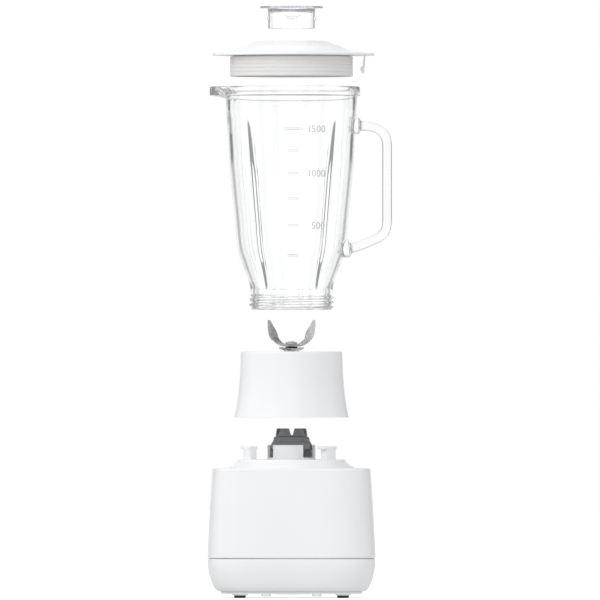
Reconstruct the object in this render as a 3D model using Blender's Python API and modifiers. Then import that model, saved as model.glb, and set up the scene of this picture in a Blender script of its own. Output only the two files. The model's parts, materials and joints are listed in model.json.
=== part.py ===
"""A countertop blender with a 1.5 litre glass jug, taken apart along its vertical axis.

Every piece is modelled where it sits when the blender is assembled, with Z = 0 at the flat pad in the
middle of the underside and the motor shaft on the Z axis. Each group that lifts off hangs from an empty,
and that empty is raised by the group's lift, so setting the four lifts to zero puts the blender together.
"""

import math

import bmesh
import bpy
from mathutils import Matrix, Vector

MM = 0.001
GAP = 0.3  # clearance between pieces that touch, mm

# ---- Driving dimensions, in millimetres -------------------------------------------------------------
BASE_HALF_WIDTH = 86.5  # motor base at its widest, on the seam
SEAM_Z = 37.5
SHOULDER_Z = 130.0  # flat top edge of the motor base
DECK_Z = 139.0  # raised deck that the blade base stands on
BASE_SQUARENESS = 4.5  # superellipse exponent of the motor base's plan
FOOT_HEIGHT = 3.0

SKIRT_Z = 136.8  # lower rim of the blade base
WELL_FLOOR_Z = 185.5  # floor of the well that takes the jug's neck
BLADE_BASE_TOP_Z = 204.8
SHAFT_RADIUS = 3.7
BLADE_TURN = -30.0  # degrees, how far the long blade stands from the X axis

JUG_FOOT_Z = 189.1
JUG_RIM_Z = 419.1
JUG_RIM_RADIUS = 70.9
JUG_WALL = 4.2
HANDLE_REACH = 98.4  # centre line of the grip, from the axis
SPOUT_REACH = 13.4  # how far the spout stands out of the rim

LID_Z = 419.4  # underside of the lid's brim
LID_TOP_Z = 434.4
CAP_BODY_RADIUS = 24.4
CAP_FLANGE_RADIUS = 32.4

# How far each group is lifted off the one below.
BLADE_BASE_LIFT = 45.5
JUG_LIFT = 58.6
LID_LIFT = 31.5
CAP_LIFT = 33.2

# Azimuths in degrees, anticlockwise from +X, of the three-fold locking details on the deck.
POST_AZIMUTHS = (84.0, 204.0, 324.0)
WINDOW_AZIMUTHS = (79.5, 199.5, 319.5)

ROUND = 32  # sides of a large turned piece
SMALL_ROUND = 16  # sides of a small one
SQUARED = 36  # sides of a turned piece that is squared off afterwards


# ---- Scene and materials -----------------------------------------------------------------------------
def clear_scene():
    for item in list(bpy.data.objects):
        bpy.data.objects.remove(item, do_unlink=True)


def new_collection(name):
    made = bpy.data.collections.new(name)
    bpy.context.scene.collection.children.link(made)
    return made


def new_material(name, colour, roughness, metallic=0.0, transmission=0.0):
    made = bpy.data.materials.new(name)
    made.use_nodes = True
    shader = made.node_tree.nodes["Principled BSDF"]
    shader.inputs["Base Color"].default_value = (*colour, 1.0)
    shader.inputs["Roughness"].default_value = roughness
    shader.inputs["Metallic"].default_value = metallic
    shader.inputs["Transmission Weight"].default_value = transmission
    made.diffuse_color = (*colour, 1.0)
    return made


clear_scene()
BLENDER = new_collection("countertop_blender")

WHITE = new_material("white_plastic", (0.86, 0.87, 0.87), 0.35)
GLASS = new_material("clear_glass", (0.95, 0.97, 0.97), 0.02, transmission=1.0)
CLEAR = new_material("clear_plastic", (0.93, 0.93, 0.97), 0.08, transmission=1.0)
SILICONE = new_material("grey_silicone", (0.72, 0.71, 0.70), 0.5)
DARK = new_material("dark_grey_plastic", (0.18, 0.19, 0.19), 0.4)
RUBBER = new_material("black_rubber", (0.03, 0.03, 0.03), 0.8)
STEEL = new_material("stainless_steel", (0.62, 0.62, 0.61), 0.22, metallic=1.0)
LAMINATION = new_material("lamination_steel", (0.30, 0.31, 0.33), 0.45, metallic=1.0)
COPPER = new_material("enamelled_copper", (0.62, 0.26, 0.10), 0.35, metallic=1.0)
BRASS = new_material("brass", (0.72, 0.55, 0.25), 0.3, metallic=1.0)
BRONZE = new_material("sintered_bronze", (0.45, 0.32, 0.18), 0.5, metallic=1.0)
CARBON = new_material("carbon", (0.02, 0.02, 0.02), 0.6)
BOARD = new_material("circuit_board", (0.05, 0.20, 0.09), 0.5)


def new_empty(name, height, parent=None):
    """An empty on the blender's axis, raised by height millimetres over its parent."""
    made = bpy.data.objects.new(name, None)
    made.location = (0.0, 0.0, height * MM)
    made.parent = parent
    BLENDER.objects.link(made)
    return made


MOTOR_BASE = new_empty("motor_base_frame", 0.0)
BLADE_BASE = new_empty("blade_base_frame", BLADE_BASE_LIFT, MOTOR_BASE)
JUG = new_empty("jug_frame", JUG_LIFT, BLADE_BASE)
LID = new_empty("lid_frame", LID_LIFT, JUG)
CAP = new_empty("cap_frame", CAP_LIFT, LID)


# ---- Modelling tools ---------------------------------------------------------------------------------
def mesh_object(name, mesh):
    made = bpy.data.objects.new(name, mesh)
    BLENDER.objects.link(made)
    return made


def baked(piece):
    """Replaces piece's data with its evaluated mesh, welded and facing outwards, and drops its modifiers."""
    graph = bpy.context.evaluated_depsgraph_get()
    graph.update()
    mesh = bpy.data.meshes.new_from_object(piece.evaluated_get(graph))
    name = piece.name
    bpy.data.objects.remove(piece, do_unlink=True)
    shape = bmesh.new()
    shape.from_mesh(mesh)
    bmesh.ops.remove_doubles(shape, verts=shape.verts, dist=0.001 * MM)
    bmesh.ops.recalc_face_normals(shape, faces=shape.faces)
    shape.to_mesh(mesh)
    shape.free()
    return mesh_object(name, mesh)


def turned(name, profile, sides=ROUND):
    """A solid of revolution about Z. profile holds the (radius, z) corners of its closed half section."""
    mesh = bpy.data.meshes.new(name)
    corners = [(radius * MM, 0.0, z * MM) for radius, z in profile]
    on_axis = profile[0][0] == 0.0 and profile[-1][0] == 0.0
    edges = [(i, i + 1) for i in range(len(corners) - 1)]
    if not on_axis:
        edges.append((len(corners) - 1, 0))
    mesh.from_pydata(corners, edges, [])
    piece = mesh_object(name, mesh)
    screw = piece.modifiers.new("turn", "SCREW")
    screw.axis = "Z"
    screw.angle = math.tau
    screw.steps = sides
    screw.render_steps = sides
    screw.use_merge_vertices = True
    screw.merge_threshold = 0.01 * MM
    return baked(piece)


def tube(name, inner, outer, low, high, sides=SMALL_ROUND):
    return turned(name, [(outer, high), (outer, low), (inner, low), (inner, high)], sides)


def rod(name, radius, low, high, sides=SMALL_ROUND):
    """A plain upright cylinder on the axis."""
    mesh = bpy.data.meshes.new(name)
    shape = bmesh.new()
    middle = Matrix.Translation((0.0, 0.0, (low + high) / 2 * MM))
    bmesh.ops.create_cone(
        shape,
        cap_ends=True,
        segments=sides,
        radius1=radius * MM,
        radius2=radius * MM,
        depth=(high - low) * MM,
        matrix=middle,
    )
    shape.to_mesh(mesh)
    shape.free()
    return mesh_object(name, mesh)


def box(name, low, high):
    """An axis-aligned box between two corners."""
    mesh = bpy.data.meshes.new(name)
    shape = bmesh.new()
    size = [(b - a) * MM for a, b in zip(low, high)]
    centre = [(a + b) / 2 * MM for a, b in zip(low, high)]
    place = Matrix.Translation(centre) @ Matrix.Diagonal((*size, 1.0))
    bmesh.ops.create_cube(shape, size=1.0, matrix=place)
    shape.to_mesh(mesh)
    shape.free()
    return mesh_object(name, mesh)


def prism(name, outline, low, high):
    """A flat outline of (x, y) corners, given thickness from low to high along Z."""
    curve = bpy.data.curves.new(name, "CURVE")
    curve.dimensions = "2D"
    curve.fill_mode = "BOTH"
    curve.extrude = (high - low) / 2 * MM
    spline = curve.splines.new("POLY")
    spline.points.add(len(outline) - 1)
    for point, (x, y) in zip(spline.points, outline):
        point.co = (x * MM, y * MM, 0.0, 1.0)
    spline.use_cyclic_u = True
    piece = baked(mesh_object(name, curve))
    piece.data.transform(Matrix.Translation((0.0, 0.0, (low + high) / 2 * MM)))
    return piece


def sector(name, inner, outer, middle_deg, half_deg, low, high, steps=6):
    """A ring sector, middle_deg plus and minus half_deg."""
    angles = [math.radians(middle_deg + half_deg * (2 * i / steps - 1)) for i in range(steps + 1)]
    outline = [(outer * math.cos(a), outer * math.sin(a)) for a in angles]
    outline += [(inner * math.cos(a), inner * math.sin(a)) for a in reversed(angles)]
    return prism(name, outline, low, high)


def moved(piece, x=0.0, y=0.0, z=0.0, turn=0.0, tilt=0.0):
    """Tilts piece's mesh about X, turns it about Z and shifts it, in degrees and millimetres."""
    place = Matrix.Translation((x * MM, y * MM, z * MM))
    spin = Matrix.Rotation(math.radians(turn), 4, "Z")
    lean = Matrix.Rotation(math.radians(tilt), 4, "X")
    piece.data.transform(place @ spin @ lean)
    return piece


def combine(piece, other, operation):
    boolean = piece.modifiers.new(operation.lower(), "BOOLEAN")
    boolean.operation = operation
    boolean.solver = "EXACT"
    boolean.object = other
    bpy.context.view_layer.update()
    result = baked(piece)
    bpy.data.objects.remove(other, do_unlink=True)
    return result


def cut(piece, *others):
    for other in others:
        piece = combine(piece, other, "DIFFERENCE")
    return piece


def join(piece, *others):
    for other in others:
        piece = combine(piece, other, "UNION")
    return piece


def squareness(azimuth):
    """How much further out than on the X axis the motor base's superellipse lies at this azimuth."""
    n = BASE_SQUARENESS
    return (abs(math.cos(azimuth)) ** n + abs(math.sin(azimuth)) ** n) ** (-1.0 / n)


def squared_off(piece, round_inside, square_outside):
    """Turns a round piece into the motor base's plan, leaving it round within round_inside."""
    for vertex in piece.data.vertices:
        radius = math.hypot(vertex.co.x, vertex.co.y) / MM
        share = (radius - round_inside) / (square_outside - round_inside)
        share = min(1.0, max(0.0, share))
        stretch = 1.0 + share * (squareness(math.atan2(vertex.co.y, vertex.co.x)) - 1.0)
        vertex.co.x *= stretch
        vertex.co.y *= stretch
    return piece


def finished(piece, material, parent=MOTOR_BASE, origin=None):
    """Gives the piece its material and parent, shades it, and moves its origin onto its joint's axis."""
    piece.data.materials.clear()
    piece.data.materials.append(material)
    piece.data.shade_smooth()
    piece.data.set_sharp_from_angle(angle=math.radians(35))
    if origin is not None:
        centre = Vector(origin) * MM
        piece.data.transform(Matrix.Translation(-centre))
        piece.location = centre
    piece.parent = parent
    return piece


# ---- Motor base: housing -----------------------------------------------------------------------------
WALL = 2.5
DECK_RADIUS = 55.5
DECK_FOOT_RADIUS = 64.5
COVER_HALF_WIDTH = 73.0
SCREW_PLACES = ((26.0, 68.5), (-26.0, 68.5), (-26.0, -68.5), (26.0, -68.5))
FOOT_PLACES = ((53.0, 50.0), (-53.0, 50.0), (-53.0, -50.0), (53.0, -50.0))
COVER_LOW, COVER_HIGH = 1.0, 3.2
GLAND_X, GLAND_Z = 36.0, 18.0
KNOB_Z = 80.0


def lower_housing():
    """The bowl-shaped lower shell, with a flange that the bottom cover screws to and a lip for the seam."""
    half, low, top = BASE_HALF_WIDTH, COVER_HIGH + GAP, SEAM_Z - 0.4
    shell = turned(
        "lower_housing",
        [
            (half - 2.9, top + 2.4),
            (half - 2.9, top),
            (half, top),
            (half - 0.5, 29.0),
            (half - 2.1, 20.0),
            (half - 5.2, 10.0),
            (half - 9.0, 5.0),
            (half - 11.0, low),
            (64.0, low),
            (64.0, low + WALL),
            (half - 12.4, low + WALL + 0.4),
            (half - 7.8, 11.0),
            (half - 4.7, 20.5),
            (half - 4.4, top + 2.4),
        ],
        SQUARED,
    )
    shell = squared_off(shell, 30.0, 64.0)
    for x, y in SCREW_PLACES:
        boss = moved(rod("boss", 4.3, low + 1.0, 16.0, 12), x, y)
        shell = join(shell, boss)
        shell = cut(shell, moved(rod("pilot", 2.0, low - 1.0, 17.0, 12), x, y))
    bore = moved(rod("bore", 5.9, -15.0, 15.0, 16), tilt=-90.0)
    shell = cut(shell, moved(bore, GLAND_X, BASE_HALF_WIDTH - 4.0, GLAND_Z))
    return finished(shell, WHITE)


def bottom_cover():
    """The plate that closes the base, with a flat pad in the middle and the motor's air slots round it."""
    plate = turned(
        "bottom_cover",
        [
            (0.0, COVER_HIGH),
            (COVER_HALF_WIDTH, COVER_HIGH),
            (COVER_HALF_WIDTH, COVER_LOW + 0.6),
            (COVER_HALF_WIDTH - 0.6, COVER_LOW),
            (20.0, COVER_LOW),
            (20.0, 0.0),
            (0.0, 0.0),
        ],
        SQUARED,
    )
    plate = squared_off(plate, 40.0, 70.0)
    for index in range(10):
        slot = box("slot", (25.0, -1.6, -2.0), (37.0, 1.6, 6.0))
        plate = cut(plate, moved(slot, turn=36.0 * index))
    for x, y in SCREW_PLACES:
        plate = cut(plate, moved(rod("hole", 2.0, -2.0, 6.0, 12), x, y))
    return finished(plate, WHITE)


def upper_housing():
    """The tapered white shell, open below, with a round opening in its top for the deck."""
    half, top = BASE_HALF_WIDTH, SHOULDER_Z
    shell = turned(
        "upper_housing",
        [
            (half - 6.4, top),
            (half - 5.2, top - 1.2),
            (half - 4.6, 120.0),
            (half - 2.0, 80.0),
            (half - 0.4, 50.0),
            (half, SEAM_Z + 0.4),
            (half - WALL, SEAM_Z + 0.4),
            (half - WALL - 0.4, 50.0),
            (half - WALL - 2.0, 80.0),
            (half - WALL - 4.6, 119.0),
            (half - WALL - 5.6, top - WALL),
            (DECK_FOOT_RADIUS + 0.8, top - WALL),
            (DECK_FOOT_RADIUS + 0.8, top),
        ],
        SQUARED,
    )
    shell = squared_off(shell, DECK_FOOT_RADIUS + 0.9, half - 9.0)
    bore = moved(rod("bore", 4.6, -12.0, 12.0, 16), 0.0, half, KNOB_Z, tilt=-90.0)
    return finished(cut(shell, bore), WHITE)


COLLAR_OUTER, COLLAR_INNER, COLLAR_TOP = 24.7, 22.0, 154.0
WINDOW_HALF_WIDTH = 8.6
POST_RADIUS, POST_TOP = 46.8, 152.5
DAMPER_RADIUS, DAMPER_AZIMUTHS = 34.0, (30.0, 150.0, 270.0)


def jug_seat():
    """The raised deck: a collar with three windows round the drive coupling and three hooked lock posts."""
    outer, under = DECK_FOOT_RADIUS, DECK_Z - WALL
    deck = turned(
        "jug_seat",
        [
            (COLLAR_INNER, COLLAR_TOP),
            (COLLAR_OUTER, COLLAR_TOP),
            (COLLAR_OUTER, DECK_Z),
            (DECK_RADIUS, DECK_Z),
            (DECK_RADIUS + 0.5, under),
            (outer, SHOULDER_Z + 1.0),
            (outer, SHOULDER_Z - WALL - GAP),
            (outer + 3.0, SHOULDER_Z - WALL - GAP),
            (outer + 3.0, SHOULDER_Z - 2 * WALL - GAP),
            (outer - WALL, SHOULDER_Z - 2 * WALL - GAP),
            (outer - WALL, SHOULDER_Z),
            (DECK_RADIUS - 2.0, under - WALL + 0.5),
            (DECK_RADIUS - 3.0, under),
            (6.5, under),
            (6.5, DECK_Z),
            (COLLAR_INNER, DECK_Z),
        ],
    )
    for azimuth in WINDOW_AZIMUTHS:
        low, high = (COLLAR_INNER - 8.0, -WINDOW_HALF_WIDTH), (30.0, WINDOW_HALF_WIDTH)
        window = box("window", (*low, DECK_Z + 2.0), (*high, COLLAR_TOP + 2.0))
        deck = cut(deck, moved(window, turn=azimuth))
    for azimuth in POST_AZIMUTHS:
        post = box("post", (POST_RADIUS - 4.0, -8.0, DECK_Z - 1.0), (POST_RADIUS + 4.0, 8.0, POST_TOP - 1.0))
        hook = box("hook", (POST_RADIUS - 4.8, -13.0, POST_TOP - 3.0), (POST_RADIUS + 4.8, 8.5, POST_TOP))
        deck = join(deck, moved(post, turn=azimuth), moved(hook, turn=azimuth))
    for azimuth in DAMPER_AZIMUTHS:
        stud = moved(rod("stud", 5.0, 126.0, DECK_Z - 1.0, 12), DAMPER_RADIUS)
        deck = join(deck, moved(stud, turn=azimuth))
    return finished(deck, WHITE)


def rubber_foot(index, x, y):
    foot = turned(
        f"rubber_foot_{index}",
        [
            (0.0, COVER_LOW - GAP),
            (6.0, COVER_LOW - GAP),
            (6.0, -FOOT_HEIGHT + 0.8),
            (5.2, -FOOT_HEIGHT),
            (0.0, -FOOT_HEIGHT),
        ],
        SMALL_ROUND,
    )
    return finished(moved(foot, x, y), RUBBER)


def base_screw(index, x, y):
    """A pan-head screw through the bottom cover into a boss of the lower housing."""
    screw = turned(
        f"base_screw_{index}",
        [
            (0.0, 14.0),
            (1.0, 14.0),
            (1.6, 12.5),
            (1.6, COVER_LOW - GAP),
            (3.5, COVER_LOW - GAP),
            (3.5, -0.4),
            (2.6, -1.1),
            (0.0, -1.1),
        ],
        12,
    )
    slot = box("slot", (-2.2, -0.5, -2.0), (2.2, 0.5, -0.3))
    return finished(moved(cut(screw, slot), x, y), STEEL)


def cord_gland():
    """The bushing in the lower housing's back wall that the mains lead comes out of."""
    outside = BASE_HALF_WIDTH - 2.2
    gland = turned(
        "cord_gland",
        [
            (7.5, 1.6),
            (6.6, 4.2),
            (3.8, 4.2),
            (3.8, -6.0),
            (5.5, -6.0),
            (5.5, 1.0),
            (7.5, 1.0),
        ],
        SMALL_ROUND,
    )
    return finished(moved(gland, GLAND_X, outside, GLAND_Z, tilt=-90.0), RUBBER)


# ---- Motor base: motor -------------------------------------------------------------------------------
MOTOR_SHAFT_LOW, MOTOR_SHAFT_HIGH = 20.0, 161.0
CORE_LOW, CORE_HIGH = 50.0, 88.0
ARMATURE_RADIUS = 20.5
POLE_FACE_RADIUS = 21.5
YOKE_INNER, YOKE_OUTER = 31.0, 38.0
TIE_BOLT_RADIUS = 34.5
UPPER_BRACKET_Z, LOWER_BRACKET_Z = 108.0, 22.0
BRACKET = 3.0
BEARING_RADIUS = 9.4
POLE_AZIMUTHS = (90.0, -90.0)


def tie_bolt_holes(low, high):
    return [moved(rod("hole", 2.1, low, high, 12), side * TIE_BOLT_RADIUS) for side in (1, -1)]


def stator_core():
    """The laminated yoke with its two poles."""
    core = tube("stator_core", YOKE_INNER, YOKE_OUTER, CORE_LOW, CORE_HIGH, 32)
    for azimuth in POLE_AZIMUTHS:
        pole = sector("pole", POLE_FACE_RADIUS, YOKE_INNER + 1.0, azimuth, 32.0, CORE_LOW, CORE_HIGH)
        core = join(core, pole)
    core = cut(core, *tie_bolt_holes(CORE_LOW - 1.0, CORE_HIGH + 1.0))
    return finished(core, LAMINATION)


def field_coil(name, azimuth):
    """A winding that loops round one pole, between the yoke and the armature."""
    inner, outer = POLE_FACE_RADIUS + 0.6, YOKE_INNER - 0.5
    coil = sector(name, inner, outer, azimuth, 50.0, CORE_LOW - 7.0, CORE_HIGH + 7.0, 8)
    window = sector("window", inner - 3.0, outer + 3.0, azimuth, 33.5, CORE_LOW - 0.6, CORE_HIGH + 0.6)
    return finished(cut(coil, window), COPPER)


def motor_bracket(name, low, seat_high, spread):
    """An end bracket: a slotted plate with the hub that holds a bearing."""
    high = low + BRACKET
    bracket = turned(
        name,
        [
            (spread, high),
            (spread, low),
            (5.5, low),
            (5.5, low + 2.4),
            (BEARING_RADIUS + GAP, low + 2.4),
            (BEARING_RADIUS + GAP, seat_high),
            (BEARING_RADIUS + 3.0, seat_high),
            (BEARING_RADIUS + 3.0, high),
        ],
        32,
    )
    for azimuth in (45.0, 135.0, 225.0, 315.0):
        opening = sector("opening", 17.0, 28.0, azimuth, 24.0, low - 1.0, high + 1.0, 3)
        bracket = cut(bracket, opening)
    bracket = cut(bracket, *tie_bolt_holes(low - 1.0, high + 1.0))
    return finished(bracket, LAMINATION)


def bearing(name, low, high):
    return finished(tube(name, SHAFT_RADIUS + GAP, BEARING_RADIUS, low, high), STEEL)


def tie_bolt(name, side):
    """A long bolt that clamps both brackets to the yoke."""
    bolt = turned(
        name,
        [
            (0.0, UPPER_BRACKET_Z + BRACKET + 3.0),
            (3.4, UPPER_BRACKET_Z + BRACKET + 3.0),
            (3.4, UPPER_BRACKET_Z + BRACKET + GAP),
            (1.7, UPPER_BRACKET_Z + BRACKET + GAP),
            (1.7, LOWER_BRACKET_Z - 1.5),
            (0.0, LOWER_BRACKET_Z - 1.5),
        ],
        12,
    )
    return finished(moved(bolt, side * TIE_BOLT_RADIUS), STEEL)


BRUSH_Z = 101.0
COMMUTATOR_RADIUS = 11.5
BRUSH_HALF_WIDTH, BRUSH_HALF_HEIGHT = 3.0, 2.6


def carbon_brush(name, side):
    """A carbon block that bears on the commutator, standing a hair off it."""
    face = COMMUTATOR_RADIUS + GAP
    w, h = BRUSH_HALF_WIDTH, BRUSH_HALF_HEIGHT
    block = box(name, (face, -w, BRUSH_Z - h), (face + 12.0, w, BRUSH_Z + h))
    if side < 0:
        block = moved(block, turn=180.0)
    return finished(block, CARBON)


def brush_holder(name, side):
    """A square brass tube round the brush and its spring, closed at the outer end."""
    w, h, wall = BRUSH_HALF_WIDTH + GAP, BRUSH_HALF_HEIGHT + GAP, 0.9
    start, end = COMMUTATOR_RADIUS + 3.0, 32.0
    case = box(name, (start, -w - wall, BRUSH_Z - h - wall), (end, w + wall, BRUSH_Z + h + wall))
    case = cut(case, box("bore", (start - 2.0, -w, BRUSH_Z - h), (end - wall, w, BRUSH_Z + h)))
    if side < 0:
        case = moved(case, turn=180.0)
    return finished(case, BRASS)


def brush_spring(name, side):
    """The coil spring that presses a brush inwards."""
    turns, per_turn, coil_radius, wire = 3, 7, 1.9, 0.28
    start, end = COMMUTATOR_RADIUS + 13.2, 30.4
    curve = bpy.data.curves.new(name, "CURVE")
    curve.dimensions = "3D"
    curve.bevel_depth = wire * MM
    curve.bevel_resolution = 1
    curve.use_fill_caps = True
    spline = curve.splines.new("POLY")
    count = turns * per_turn
    spline.points.add(count)
    for index, point in enumerate(spline.points):
        angle = math.tau * index / per_turn
        x = start + (end - start) * index / count
        place = (side * x, coil_radius * math.cos(angle), BRUSH_Z + coil_radius * math.sin(angle))
        point.co = (*[value * MM for value in place], 1.0)
    return finished(baked(mesh_object(name, curve)), STEEL)


def damper(index, azimuth):
    """A rubber bush that hangs the motor from a stud of the deck."""
    low, high = UPPER_BRACKET_Z + BRACKET + GAP, 126.0 - GAP
    waist = (low + high) / 2
    bush = turned(
        f"motor_damper_{index}",
        [(0.0, high), (5.6, high), (4.2, waist), (5.6, low), (0.0, low)],
        16,
    )
    return finished(moved(moved(bush, DAMPER_RADIUS), turn=azimuth), RUBBER)


def motor_pieces():
    """Everything of the motor that turns: shaft, armature, windings, commutator, fan and drive coupling."""
    bore = SHAFT_RADIUS + GAP
    spinning = [
        finished(rod("motor_shaft", SHAFT_RADIUS, MOTOR_SHAFT_LOW, MOTOR_SHAFT_HIGH), STEEL),
        finished(tube("armature_core", bore, ARMATURE_RADIUS, CORE_LOW, CORE_HIGH, 24), LAMINATION),
        finished(tube("commutator", bore, COMMUTATOR_RADIUS, 95.5, 106.0, 24), COPPER),
    ]
    for name, near, far in (
        ("armature_winding_upper", CORE_HIGH + GAP, CORE_HIGH + 6.5),
        ("armature_winding_lower", CORE_LOW - GAP, CORE_LOW - 6.5),
    ):
        low, high = sorted((near, far))
        bulge = (low + high) / 2
        ring = turned(name, [(14.0, high), (17.5, bulge), (16.0, low), (bore, low), (bore, high)], 20)
        spinning.append(finished(ring, COPPER))
    return spinning


def cooling_fan():
    """The disc and blades that draw air through the slots of the bottom cover."""
    low, bore = 35.0, SHAFT_RADIUS + GAP
    fan = turned(
        "cooling_fan",
        [(7.0, low + 7.0), (7.0, low + 1.5), (29.0, low + 1.5), (29.0, low), (bore, low), (bore, low + 7.0)],
        24,
    )
    for index in range(8):
        blade = moved(box("blade", (6.0, -0.7, low + 1.0), (28.5, 0.7, low + 6.5)), turn=45.0 * index + 12.0)
        fan = join(fan, blade)
    return finished(fan, DARK)


TEETH_LOW, TEETH_HIGH = 163.0, 171.0
TEETH = 6


def drive_coupling():
    """The dark bell on the motor shaft, with six tapered teeth standing up from its shoulder."""
    bore = SHAFT_RADIUS + GAP
    bell = turned(
        "drive_coupling",
        [
            (7.0, TEETH_HIGH),
            (15.2, TEETH_HIGH),
            (16.4, TEETH_LOW),
            (17.9, TEETH_LOW - 0.8),
            (18.8, 158.4),
            (20.9, 155.2),
            (20.9, 149.6),
            (18.9, 149.6),
            (18.9, 155.2),
            (15.8, TEETH_LOW - 3.0),
            (8.0, TEETH_LOW - 3.0),
            (8.0, 149.0),
            (bore, 149.0),
            (bore, TEETH_LOW - 1.0),
            (7.0, TEETH_LOW - 0.6),
        ],
    )
    for index in range(TEETH // 2):
        notch = prism("notch", [(-3.6, 1.0), (3.6, 1.0), (0.9, -7.4), (-0.9, -7.4)], -25.0, 25.0)
        notch = moved(moved(notch, tilt=90.0), z=TEETH_HIGH)
        bell = cut(bell, moved(notch, turn=60.0 * index))
    return finished(bell, DARK)


def shaft_slinger():
    """The pale ring that keeps spills out of the shaft hole in the deck."""
    ring = turned(
        "shaft_slinger",
        [
            (9.0, DECK_Z + 8.0),
            (11.5, DECK_Z + 8.0),
            (12.5, DECK_Z + 3.0),
            (15.0, DECK_Z + GAP),
            (9.0, DECK_Z + GAP),
        ],
        24,
    )
    return finished(ring, SILICONE)


# ---- Motor base: controls ----------------------------------------------------------------------------
KNOB_FACE_Y = BASE_HALF_WIDTH - 0.5
KNOB_RADIUS, KNOB_DEPTH = 17.0, 13.0


def control_knob():
    """The speed selector on the back: a dished cap with a pointer rib, on a spindle through the housing."""
    knob = turned(
        "control_knob",
        [
            (0.0, KNOB_DEPTH - 1.0),
            (KNOB_RADIUS - 4.0, KNOB_DEPTH),
            (KNOB_RADIUS - 1.6, KNOB_DEPTH - 0.6),
            (KNOB_RADIUS - 0.8, KNOB_DEPTH - 2.0),
            (KNOB_RADIUS, 0.0),
            (3.2, 0.0),
            (3.2, -16.0),
            (0.0, -16.0),
        ],
        28,
    )
    half = KNOB_RADIUS - 1.2
    rib = box("rib", (-2.4, -half, KNOB_DEPTH - 3.0), (2.4, half, KNOB_DEPTH + 2.0))
    knob = moved(join(knob, rib), 0.0, KNOB_FACE_Y, KNOB_Z, tilt=-90.0)
    return finished(knob, WHITE, origin=(0.0, KNOB_FACE_Y, KNOB_Z))


def rotary_switch():
    """The switch body behind the knob, with a socket for the knob's spindle."""
    back = BASE_HALF_WIDTH - 30.0
    body = box("rotary_switch", (-15.0, back, KNOB_Z - 13.0), (15.0, back + 20.0, KNOB_Z + 13.0))
    socket = moved(rod("socket", 3.6, -8.0, 8.0, 16), 0.0, back + 20.0, KNOB_Z, tilt=-90.0)
    return finished(cut(body, socket), DARK)


def electrics():
    """The speed board with its diode block and capacitor, the thermal cut-out and the terminal block."""
    board = box("speed_board", (52.0, 10.0, 46.0), (53.6, 46.0, 90.0))
    board = join(board, box("diode_block", (53.0, 16.0, 52.0), (60.0, 28.0, 64.0)))
    return [
        finished(board, BOARD),
        finished(box("suppressor_capacitor", (44.0, 14.0, 66.0), (52.0 - GAP, 40.0, 84.0)), COPPER),
        finished(moved(rod("thermal_cutout", 4.0, 58.0, 80.0, 12), -42.5, 6.0), STEEL),
        finished(box("terminal_block", (24.0, 52.0, 12.0), (48.0, 64.0, 26.0)), WHITE),
    ]


# ---- Blade base --------------------------------------------------------------------------------------
TOWER_TOP = 200.5
HUB_LOW = 177.0
BUSH_RADIUS = 8.0
WELL_RADIUS = 44.4


def blade_base():
    """The flared white skirt, with a well on top for the jug's neck and a tower that carries the bearing."""
    seat = BUSH_RADIUS + 0.2
    partition = WELL_FLOOR_Z - 2.8
    base = turned(
        "blade_base",
        [
            (WELL_RADIUS + 0.8, BLADE_BASE_TOP_Z),
            (51.6, BLADE_BASE_TOP_Z),
            (52.5, BLADE_BASE_TOP_Z - 0.9),
            (53.2, 180.0),
            (54.4, 165.0),
            (56.4, 150.0),
            (59.2, SKIRT_Z),
            (56.8, SKIRT_Z),
            (54.0, 150.0),
            (52.0, 165.0),
            (50.6, 180.0),
            (50.2, BLADE_BASE_TOP_Z - 3.0),
            (46.8, BLADE_BASE_TOP_Z - 3.0),
            (46.8, partition),
            (seat + 3.0, partition),
            (seat + 3.0, HUB_LOW),
            (seat, HUB_LOW),
            (seat, TOWER_TOP),
            (seat + 2.2, TOWER_TOP),
            (seat + 5.0, WELL_FLOOR_Z),
            (WELL_RADIUS, WELL_FLOOR_Z),
            (WELL_RADIUS, BLADE_BASE_TOP_Z - 0.8),
        ],
    )
    for azimuth in POST_AZIMUTHS:
        lug = sector("lug", 45.5, 55.6, azimuth - 42.0, 6.5, 141.0, 146.5, 2)
        base = join(base, lug)
    return finished(base, WHITE, BLADE_BASE)


def jug_seal():
    """The ring that the jug's foot presses on."""
    ring = turned(
        "jug_seal",
        [
            (41.2, JUG_FOOT_Z - GAP),
            (43.8, JUG_FOOT_Z - 1.3),
            (43.8, WELL_FLOOR_Z + GAP),
            (35.0, WELL_FLOOR_Z + GAP),
            (35.0, JUG_FOOT_Z - 1.3),
            (37.0, JUG_FOOT_Z - GAP),
        ],
    )
    return finished(ring, SILICONE, BLADE_BASE)


def blade_bearing():
    bush = tube("blade_bearing", SHAFT_RADIUS + GAP, BUSH_RADIUS - 0.1, HUB_LOW + GAP, TOWER_TOP - 1.0, 24)
    return finished(bush, BRONZE, BLADE_BASE)


def blade_shaft_seal():
    """The lip seal on top of the bearing tower."""
    seal = turned(
        "blade_shaft_seal",
        [
            (6.0, TOWER_TOP + 3.4),
            (9.5, TOWER_TOP + 2.2),
            (9.5, TOWER_TOP + GAP),
            (SHAFT_RADIUS + GAP, TOWER_TOP + GAP),
            (SHAFT_RADIUS + GAP, TOWER_TOP + 3.4),
        ],
        24,
    )
    return finished(seal, RUBBER, BLADE_BASE)


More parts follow.
